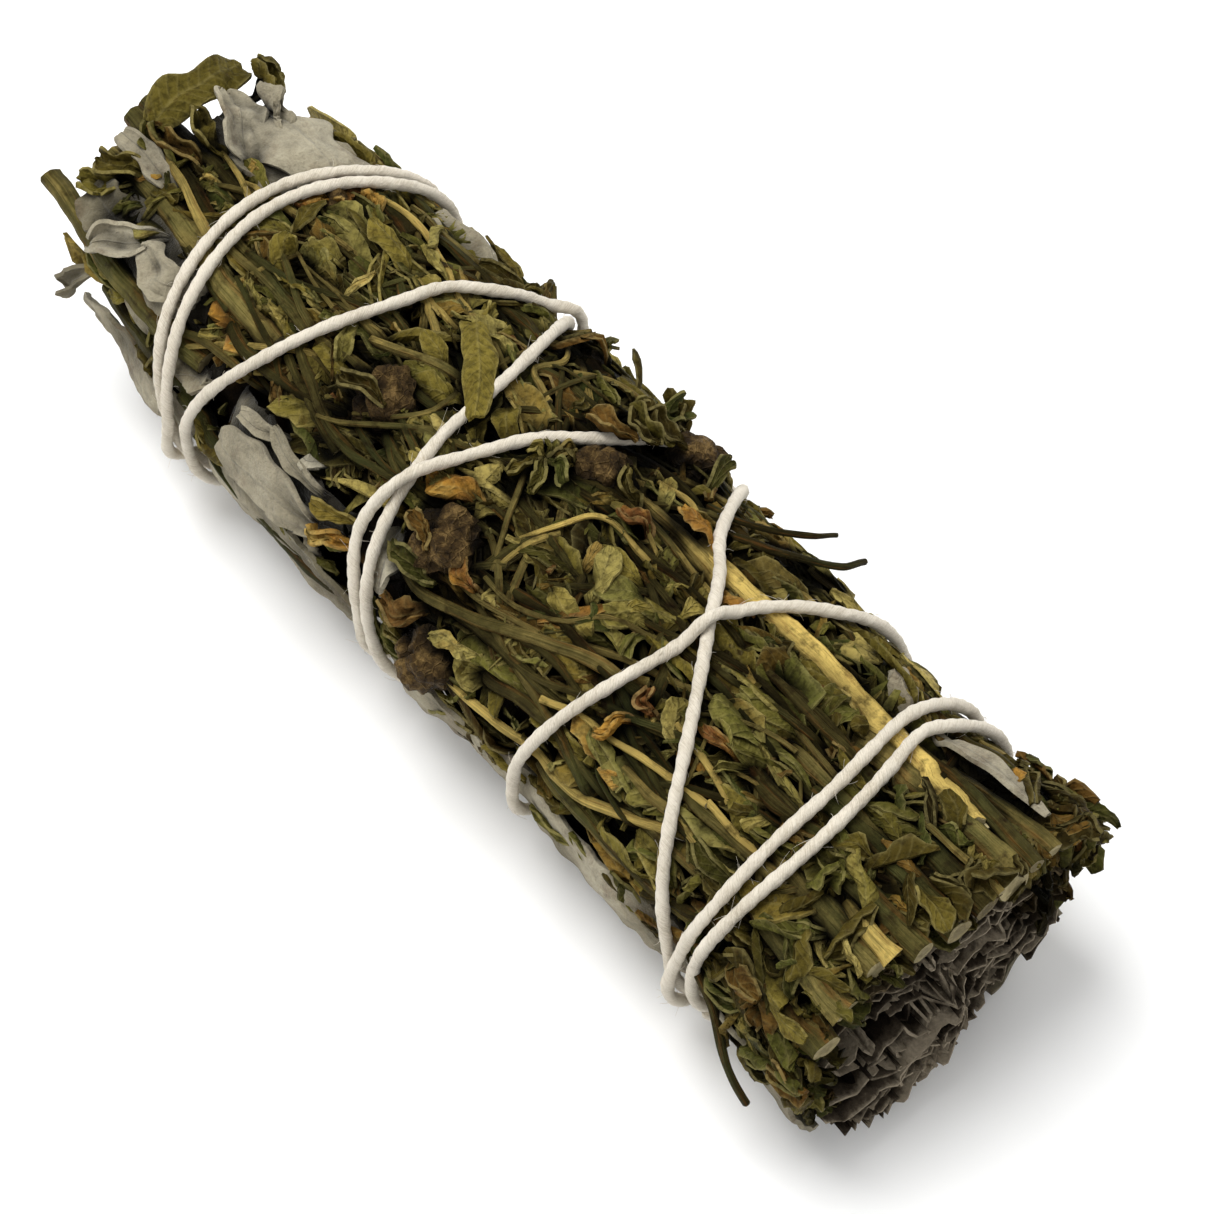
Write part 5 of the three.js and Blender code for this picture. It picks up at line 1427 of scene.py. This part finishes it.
sage = {
    "thickness": 0.45, "rows": 90, "cols": 26,
    "outline": (0.72, 0.95, 1, 1, 1, 0.93, 0.5),  # shares of its width, evenly spaced from base to tip
    "depth": 0.55, "layerStep": 1.4,  # under the surface, and how much more for each layer
    "tucked": (0.9, 2.2),  # depth of a leaf on top where it shows, and how much deeper its ends go
    "folds": (0.45, 3.4), "smallFolds": (0.16, 1.7), "wrinkles": (0.07, 0.8),  # height and size
    "rib": 0.25, "curl": 0.5,
}
sageLeaves = [  # name, from, to, angle at both ends, width, layer
    ("sage_leaf_left_cut_end", 51, -4, 196, 198, 13, 0),
    ("sage_leaf_left_leafy_end", -6, -51, 198, 194, 13, 0),
    ("sage_leaf_base_cut_end", 50.5, -7, 257, 257, 13.4, 0),
    ("sage_leaf_base_leafy_end", -9, -49, 257, 257, 13.4, 0),
    ("sage_leaf_right_cut_end", 50.5, 0, 313, 313, 13, 0),
    ("sage_leaf_right_leafy_end", -2, -50, 313, 313, 13, 0),
    ("sage_leaf_inner_left", 49.5, -48, 226, 226, 14, 1),
    ("sage_leaf_inner_right", 48.5, -47.5, 288, 288, 14, 1),
    ("sage_leaf_top_right", -12, -53, 40, 72, 11, -1),
    ("sage_leaf_top_left", -11, -29, 162, 157, 7.5, -1),
    ("sage_leaf_tip_left", -31, -54, 150, 136, 8, -1),
]
sageShows = {  # the stretch in which a leaf on top isn't under the rue
    "sage_leaf_top_right": (-54, -40), "sage_leaf_top_left": (-27, -13), "sage_leaf_tip_left": (-54, -38),
}


def sageLeaf(name, start, end, startDeg, endDeg, width, layer, seed):
    # u runs along the leaf and v across it; its outline is smooth through the shares of its width, with
    # small waves along the margin, and its face has a rib, folds along it and fine wrinkles across them
    u = np.linspace(0, 1, sage["rows"])[:, None]
    v = np.linspace(-1, 1, sage["cols"])[None]
    shares = np.interp(u, np.linspace(0, 1, len(sage["outline"])), sage["outline"])
    edge = 1 + 0.035 * np.sin(u * abs(end - start) * 1.9 + seed) + 0.05 * np.sin(u * 17 + seed * 2) * np.sign(v)
    middle = startDeg + (endDeg - startDeg) * u
    perMm = np.degrees(1 / float(bareRadius(np.array((start + end) / 2), np.array((startDeg + endDeg) / 2))))
    x = start + (end - start) * u + 1.2 * np.sin(2.4 * v + seed) * (u * (u - 1) + 0.25) * 2
    deg = middle + v * shares * edge * width / 2 * perMm
    spot = np.stack(np.broadcast_arrays(x, np.radians(deg) * 14), -1)
    (tall, wide), (lower, small), (least, tiny) = sage["folds"], sage["smallFolds"], sage["wrinkles"]
    folds = tall * wobble(spot * np.array([0.45, 1.0]), wide, seed) + lower * wobble(spot, small, seed + 1)
    fine = least * wobble(spot, tiny, seed + 2)
    rib = sage["rib"] * np.exp(-((v / 0.07) ** 2)) - 0.12 * np.exp(-((v / 0.2) ** 2))
    curled = sage["curl"] * np.abs(v) ** 6 * (np.sin(u * 9 + seed) - 0.2)
    depth = sage["depth"] + max(layer, 0) * sage["layerStep"]
    if name in sageShows:
        low, high = sageShows[name]
        shown, deeper = sage["tucked"]
        depth = shown + deeper * (smoothstep(x, high - 2, high + 3) + 1 - smoothstep(x, low - 3, low + 1))
    radius = surfaceRadius(x, deg) - depth + folds * (0.4 if layer == 1 else 1.0) + fine + rib + curled
    radius = pressed(x, deg, radius, room=0.1 + max(layer, 0) * sage["layerStep"], slope=0.8)
    top = onAxis(x, deg, radius)[None]
    grain = np.stack(np.broadcast_arrays(u * abs(end - start), v, float(seed)), -1)[None]
    # besides a random tone, the folds' crests are lighter and their troughs darker: painted light and shade;
    # the inner layer, lying under the outer leaves, is darker by painted shade
    tone = 0.5 + 0.22 * wobble(spot, 7, seed + 5) + 0.25 * folds - (0.12 if layer == 1 else 0)
    return shells(top, sage["thickness"], tone[None], grain)


for seed, leaf in enumerate(sageLeaves):
    node = leaf[0]
    newPiece(node.replace("leaf", "felt", 1), [sageLeaf(*leaf, seed)], finishes["sage"], [node])

sageOnTop = [  # along, angle, length, width, heading, height, curl, roll, tone, more
    (-37, 56, 13, 8.6, 4, 0.6, -0.5, 0, 0.75,
     {"base": 0.25, "tip": 0.22, "teeth": 2, "crumple": 0.3, "depth": 0.5}),
    (-45.5, 78, 8, 4.2, -18, 0.9, 0.8, 0.3, 0.8, {"free": 1, "base": 0.4, "tip": 0.5, "teeth": 1, "crumple": 0.3}),
    (-45, 62, 6.6, 2.4, -14, 1.3, 1.9, 0.5, 0.6, {"free": 1, "ruffle": 0.6, "crumple": 0.3}),
    (-21, 36, 11, 4.5, -6, 0.9, 0.8, 0.2, 0.6, {"base": 0.5}),
    (-13.5, 163, 12.5, 6.6, -4, 0.9, 0.9, 0.1, 0.62, {"base": 0.45, "tip": 0.3, "crumple": 0.4, "bow": 0.8}),
    (-13, 176, 6.5, 4.6, 20, 0.7, 0.9, 0.1, 0.6, {"base": 0.4, "tip": 0.4}),
    (-19, 145.5, 6, 1.7, 8, 0.8, 1, 0.3, 0.7),
    (-13.6, 151.5, 8, 1.7, -16, 0.8, 1, -0.2, 0.55),
    (-6.4, 141, 6.2, 2.8, 106, 0.3, 0.5, 0, 0.85, {"base": 0.4}),
    (-37, 138, 7.4, 4.4, 0, 0.6, 1, 0.1, 0.7, {"crumple": 0.5, "base": 0.3, "tip": 0.4}),
    (-43.5, 130, 7.5, 3.6, 40, 1, 1.6, 0.3, 0.75, {"free": 1, "base": 0.6, "crumple": 0.3}),
    (-48, 138, 5.6, 4.6, 0, 0.2, 0.3, 0.2, 0.25, {"free": 1, "base": 0.2, "tip": 0.15}),
    (-47, 113, 8.5, 2.2, 0, 0.4, 0.5, 0, 0.6, {"free": 1, "base": 0.3, "tip": 0.3}),
    (-50, 164, 5, 3, 62, 0.3, 1.9, 0.5, 0.3, {"free": 1, "bow": 0.6}),
    (-31, 156, 6, 3.2, 24, 0.3, 1, 0.1, 0.5),
    (37.5, 47.5, 11.6, 1.7, 178, 0.1, 0.6, 0.1, 0.66,
     {"base": 0.3, "tip": 0.7, "depth": 0.1, "over": 1, "bow": 0.2, "crumple": 0.05}),
    (36.5, 49, 5.2, 2, -8, 0.4, 0.8, 0.1, 0.6),
    (-15.5, 143, 1.8, 1.3, 10, 0.9, 0.6, 0.2, 1),
    (25, 164, 2, 0.8, 0, 0.6, 0.6, 0.2, 0.95),
]
newPiece("sage_leaves_on_top", [leafPart(topLeafTable(sageOnTop), 30, 15, 0.4)], finishes["sage"])
print("sage leaves made")

# ---- crushed sage inside, seen in both ends ----

crushed = {
    "cutFace": 48.2, "leafyFace": -45.0, "baseDepth": 4.0, "topDepth": 7.1,
    "sheets": {1: 146, -1: 70}, "rows": {1: 26, -1: 18},  # at the cut face and at the leafy one
    "standing": (0.2, 2.2), "lowerReach": 3.2,  # how far sheets stand out, and how much more in the lower half
    "sheetDepths": (3.4, 1.7),  # of the sheets' outer edge, on top and below
    "sheetThickness": 0.26, "goesIn": 9,
    "topDeg": 76, "lumps": (0.35, 2.5), "faceLumps": (0.9, 2.2),  # height and size
}


def crushedRadius(x, deg):
    # less deep under the sage leaves below than under the rue sprays on top
    turned = (deg - crushed["topDeg"]) % 360
    fromTop = np.minimum(turned, 360 - turned)
    depth = crushed["baseDepth"] + (crushed["topDepth"] - crushed["baseDepth"]) * (1 - smoothstep(fromTop, 99, 111))
    return bareRadius(x, deg) - depth


def crushedCore():
    # lumpy rings along the bunch, drawn in to a point at both faces
    faces, count = (crushed["leafyFace"], crushed["cutFace"]), 40
    share = np.array([0.3, 0.62, 0.88] + [1.0] * count + [0.88, 0.62, 0.3])[:, None]
    between = np.linspace(faces[0] + 0.3, faces[1] - 0.3, count)
    x = np.r_[[faces[0]] * 3, between, [faces[1]] * 3][:, None]
    deg = np.arange(72)[None] * 5.0
    x = np.broadcast_to(x, (len(x), 72))
    spot = np.stack(np.broadcast_arrays(x, 10 * np.cos(np.radians(deg)), 10 * np.sin(np.radians(deg))), -1)
    (high, size), (faceHigh, faceSize) = crushed["lumps"], crushed["faceLumps"]
    radius = crushedRadius(x, deg) * share - 0.4 + high * wobble(spot, size, 3)
    rings = onAxis(x + faceHigh * wobble(spot * share[..., None], faceSize, 4) * (share < 1), deg, radius)
    ends = [onAxis(face, 0.0, 0.0)[None] for face in faces]
    return closedRings(rings[None], ends[0], ends[1], 0.2, np.zeros(3))


def crushedSheets(face, outwards, seed):
    # thin crumpled sheets seen on edge, lying in wavy level layers: each crosses part of the face and goes in
    # along the bunch, and those that would come out at its side are bent round inside it
    draw = np.random.default_rng(seed)
    n, rows, cols = crushed["sheets"][outwards], crushed["rows"][outwards], 5
    s = np.linspace(0, 1, rows)[None, :, None]
    w = np.linspace(0, 1, cols)[None, None, :] ** 2.6
    phase = draw.uniform(0, tau, (4, n))[:, :, None, None]
    start, span = draw.uniform(-1.05, 0.5, n), draw.uniform(0.4, 1.1, n)
    across = start[:, None, None] + span[:, None, None] * s
    level = np.sort(draw.uniform(-1.0, 1.0, n))[:, None, None] + draw.normal(0, 0.1, n)[:, None, None] * (s - 0.5)
    level = level + 0.05 * np.sin(7 * s + phase[0] + 2 * w) + 0.035 * np.sin(19 * s + phase[1] - 2 * w)
    level = level + 0.02 * np.sin(43 * s + phase[2])
    across = across + 0.03 * np.sin(13 * s + phase[3]) + 0.015 * np.sin(37 * s + phase[0])
    share = np.hypot(across, level)
    share = np.where(share > 0.8, 0.8 + 0.2 * np.tanh((share - 0.8) / 0.2), share)
    deg = np.degrees(np.arctan2(level, across))
    below = smoothstep(-np.sin(np.radians(deg)), -0.1, 0.6)
    below = below * (1 - 0.9 * smoothstep(np.cos(np.radians(deg)), -0.3, 0.6))
    reach = crushed["lowerReach"] * (1 if outwards > 0 else 0.1)
    stand = draw.uniform(*crushed["standing"], n)[:, None, None] + reach * below
    ragged = 0.45 * np.sin(9 * s + phase[0]) + 0.3 * np.sin(23 * s + phase[1]) + 0.2 * np.sin(41 * s + phase[2])
    x = face + outwards * (stand + ragged - crushed["goesIn"] * w)
    turned = (deg - crushed["topDeg"]) % 360
    under = smoothstep(np.minimum(turned, 360 - turned), 82, 98)
    high, low = crushed["sheetDepths"]
    radius = (bareRadius(face, deg) - high + (high - low) * under) * share
    top = onAxis(x, deg, np.maximum(radius, 0.1))
    grain = np.stack(np.broadcast_arrays(x * 0 + s * 10, smoothstep(share, 0.5, 0.75) * (1 - under), phase[0]), -1)
    # and painted shade that deepens the further the sheet goes into the bunch
    # each sheet's own tone, with a painted highlight on its thin edge at the face
    tone = draw.uniform(0.1, 0.75, n)[:, None, None] + 0.5 * (1 - w) ** 20 - 0.9 * w
    tone = tone + 0.25 * np.sin(5 * s + phase[3])
    return shells(top, crushed["sheetThickness"], np.broadcast_to(tone, (n, rows, cols)), grain)


sheets = [crushedSheets(crushed["cutFace"], 1, 71), crushedSheets(crushed["leafyFace"], -1, 72)]
newPiece("crushed_sage_inside", [crushedCore(), *sheets], finishes["crushed"], ["packed_sage_leaves"])
print("crushed sage made")

# ---- the string ----

def stringLifts():
    # where a later turn crosses an earlier one it is lifted by its own thickness, in a smooth hump
    step = stringShape["liftEvery"]
    count = int(turnedInAll // step) + 1
    lifts = np.zeros(count)
    perTurn = 360 // step
    place = stringX(np.arange(count) * float(step))
    reach = stringShape["liftReach"] // step
    for turns in range(1, count // perTurn + 1):
        back = turns * perTurn
        apart = place[back:] - place[:count - back]
        for i in np.nonzero(apart[1:] * apart[:-1] <= 0)[0] + 1 + back:
            j = np.arange(max(i - reach, back), min(i + reach, count - 1) + 1)
            near = np.minimum(np.abs(apart[j - back]) / stringShape["humpHalfWidth"], 1)
            fade = 1 - smoothstep(np.abs(j - i) / reach, 0.4, 1)
            hump = stringShape["diameter"] * np.cos(near * math.pi / 2) ** 2 * fade
            for m, k in enumerate(j):
                lifts[k] = max(lifts[k], lifts[k - back] * fade[m] * (1 - near[m]) + hump[m])
    return np.arange(count) * float(step), lifts


def stringLine():
    # the wound string's centre line in even steps, with the outward direction at each point
    turned = np.arange(0, turnedInAll, 0.5)
    deg = stringShape["knotDeg"] - turned
    x = stringX(turned)
    lift = np.interp(turned, *stringLifts())
    kernel = np.hanning(15)
    lift = np.convolve(lift, kernel / kernel.sum(), "same")
    radius = bareRadius(x, deg) - bunch["furrowDepth"] + stringShape["diameter"] / 2 + lift
    points = onAxis(x, deg, radius)
    run = np.r_[0, np.linalg.norm(np.diff(points, axis=0), axis=1).cumsum()]
    even = np.arange(0, run[-1], stringShape["step"])
    line = np.stack([np.interp(even, run, points[:, k]) for k in range(3)], -1)
    return line, outwardAt(np.interp(even, run, deg)), even


def plies(turn, even):
    # the outline of two touching round plies, turned round each other along the string
    angle = turn[None] - tau * even[:, None] / stringShape["plyTurn"]
    a, d = stringShape["plyRadius"], stringShape["plyOffset"]
    return d * np.abs(np.cos(angle)) + np.sqrt(a * a - (d * np.sin(angle)) ** 2), angle


def twistedString(line, outward, even, seed):
    # a tube along the line whose outline is that of the plies, times one plus two small waves
    turn = np.arange(stringShape["sides"]) / stringShape["sides"] * tau
    outline, angle = plies(turn, even)
    uneven = 1 + 0.05 * np.sin(even * 0.9 + seed)[:, None] + 0.04 * np.sin(even * 2.7 + 2 * angle.T).T
    made = tubes(line[None], outward[None], 1.0, len(turn), 0.5, (outline * uneven)[None])
    grain = np.stack(np.broadcast_arrays(even[:, None], np.cos(angle), np.sin(angle)), -1)
    padded = np.concatenate([grain[:1]] * 2 + [grain] + [grain[-1:]] * 2)
    made["grain"] = np.concatenate([padded.reshape(-1, 3), grain[0, :1], grain[-1, :1]])
    return made


def stringFuzz(line, outward, seed):
    # short loose fibres that leave the string at a slant and curl away from it
    draw = np.random.default_rng(seed)
    n, rings = stringShape["fuzz"], 4
    i = draw.integers(4, len(line) - 4, n)
    along = line[i + 2] - line[i - 2]
    along /= np.linalg.norm(along, axis=-1, keepdims=True)
    side = np.cross(along, outward[i])
    turn = draw.uniform(0, tau, n)[:, None]
    away = np.cos(turn) * side + np.sin(turn) * outward[i]
    u = np.linspace(0, 1, rings)[None, :, None]
    length = draw.uniform(*stringShape["fuzzLength"], n)[:, None, None]
    ahead = along[:, None] * draw.uniform(-1, 1, n)[:, None, None]
    bent = np.cross(along, away)[:, None] * draw.normal(0, 0.5, n)[:, None, None]
    off = away[:, None] * (0.55 + length * 0.42 * u * (1 - 0.35 * u))
    points = line[i][:, None] + off + length * (ahead * u + bent * u**2)
    size = stringShape["fuzzRadius"] * (1 - 0.5 * u[..., 0]) * np.ones((n, 1))
    return tubes(points, away[:, None] * np.ones((1, rings, 1)) + 0.01, size, 3, 0.5)


line, outward, even = stringLine()
stringParts = {"cotton_twine": twistedString(line, outward, even, 1.0), "cotton_fibres": stringFuzz(line, outward, 8)}
for name, made in stringParts.items():
    newPiece(name, [made], finishes["twine"], ["cotton_string"], sharp=120)
print("string made,", round(float(even[-1])), "mm long")

# ---- what lies lower than its surroundings is in their shade ----

def blurred(grid, size):
    # a bell-shaped blur, as a product of Fourier transforms
    rows, cols = np.fft.fftfreq(grid.shape[0])[:, None], np.fft.rfftfreq(grid.shape[1])[None]
    bell = np.exp(-2 * (math.pi * size) ** 2 * (rows**2 + cols**2))
    return np.fft.irfft2(np.fft.rfft2(grid) * bell, grid.shape)


shading = {
    "near": 1.6, "wide": 5.0, "nearShare": 0.5,  # blurs in cells of the map, and how much the near one counts
    "face": (46.5, 49.5), "faceShare": 0.8,  # where the depth fades at the cut face, and by how much
    "lowest": -4.0,  # height of the bunch where a cell holds no point
}


def shadePieces(pieces):
    # the highest point in each cell of the unrolled bunch, blurred over a near and a wide distance; each
    # point's depth is how far it lies under both, and less at the cut face, which is open to the light
    places = []
    high = np.full((unrolledMap["cells"], unrolledMap["round"]), shading["lowest"])
    for piece in pieces:
        points = np.empty(len(piece.data.vertices) * 3, np.float32)
        piece.data.vertices.foreach_get("co", points)
        x, deg, height = unrolled(points.reshape(-1, 3).astype(float) / mm)
        i, j = (np.floor(value).astype(int) for value in cellOf(x, deg))
        np.maximum.at(high, (i, j % unrolledMap["round"]), height)
        places.append((x, deg, height))
    around = [np.roll(high, (di, dj), (0, 1)) for di in (-1, 0, 1) for dj in (-1, 0, 1)]
    high = 0.5 * high + 0.5 * np.max(around, axis=0)
    near, wide = blurred(high, shading["near"]), blurred(high, shading["wide"])
    share = shading["nearShare"]
    for piece, (x, deg, height) in zip(pieces, places):
        deep = share * onMap(near, x, deg) + (1 - share) * onMap(wide, x, deg) - height
        deep = deep * (1 - shading["faceShare"] * smoothstep(x, *shading["face"]))
        piece.data.attributes.new("deep", "FLOAT", "POINT").data.foreach_set("value", deep.astype(np.float32))


shadePieces([piece for piece in dressed if not piece.name.startswith("cotton")])
print("shading numbers made")

# ---- camera, lights and floor ----

studio = {
    "azimuth": 50.26, "elevation": 58.0, "distance": 262.0, "aim": (9.6, 1.25, 13.75), "lens": 89.76,
    "nearClip": 0.01,
    "lamps": [  # name, place in metres, size, power
        ("key", (-0.22, -0.06, 0.72), 0.42, 5.4), ("fill", (0.0, -0.6, 0.5), 0.6, 1.4),
        ("back", (0.1, 0.6, 0.45), 0.6, 1.6),
    ],
    "lampAim": (0, 0, 0.015), "world": 0.42,
    "floor": colour(252, 252, 251), "floorRoughness": 0.9, "floorHalf": 2,  # in metres
}


def addCamera():
    # it stands off its aim by the distance, on the side given by azimuth and elevation, and looks back at it
    turn, tip = math.radians(studio["azimuth"]), math.radians(studio["elevation"])
    back = np.array([math.sin(turn) * math.cos(tip), -math.cos(turn) * math.cos(tip), math.sin(tip)])
    data = bpy.data.cameras.new("camera")
    data.lens = studio["lens"]
    data.clip_start = studio["nearClip"]
    camera = bpy.data.objects.new("camera", data)
    camera.location = (np.array(studio["aim"]) + back * studio["distance"]) * mm
    right = np.array([math.cos(turn), math.sin(turn), 0.0])
    up = np.cross(back, right)
    camera.rotation_mode = "QUATERNION"
    camera.rotation_quaternion = Matrix(np.stack([right, up, back], -1).tolist()).to_quaternion()
    bpy.context.collection.objects.link(camera)
    bpy.context.scene.camera = camera


def addLamp(name, place, size, power):
    # a square white lamp, turned so that it faces the lamps' aim
    data = bpy.data.lights.new(name, "AREA")
    data.size = size
    data.energy = power
    lamp = bpy.data.objects.new(name, data)
    lamp.location = place
    lamp.rotation_mode = "QUATERNION"
    lamp.rotation_quaternion = (Vector(studio["lampAim"]) - Vector(place)).to_track_quat("-Z", "Y")
    bpy.context.collection.objects.link(lamp)


addCamera()
for lamp in studio["lamps"]:
    addLamp(*lamp)
bpy.context.scene.view_settings.view_transform = "Standard"  # so that white paper is white

world = bpy.data.worlds.new("studio")
world.use_nodes = True
background = world.node_tree.nodes["Background"]
background.inputs["Color"].default_value = (1, 1, 1, 1)
background.inputs["Strength"].default_value = studio["world"]
bpy.context.scene.world = world

half = studio["floorHalf"]
floorMesh = bpy.data.meshes.new("floor")
floorMesh.from_pydata([(-half, -half, 0), (half, -half, 0), (half, half, 0), (-half, half, 0)], [], [(0, 1, 2, 3)])
floor = bpy.data.objects.new("floor", floorMesh)
bpy.context.collection.objects.link(floor)
floorFinish = bpy.data.materials.new("floor_paper")
floorFinish.use_nodes = True
paper = floorFinish.node_tree.nodes["Principled BSDF"]
paper.inputs["Base Color"].default_value = studio["floor"]
paper.inputs["Roughness"].default_value = studio["floorRoughness"]
floorMesh.materials.append(floorFinish)
floor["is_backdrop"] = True

triangles = sum(len(p.vertices) - 2 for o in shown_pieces() for p in o.data.polygons)
print("triangles in all:", triangles)
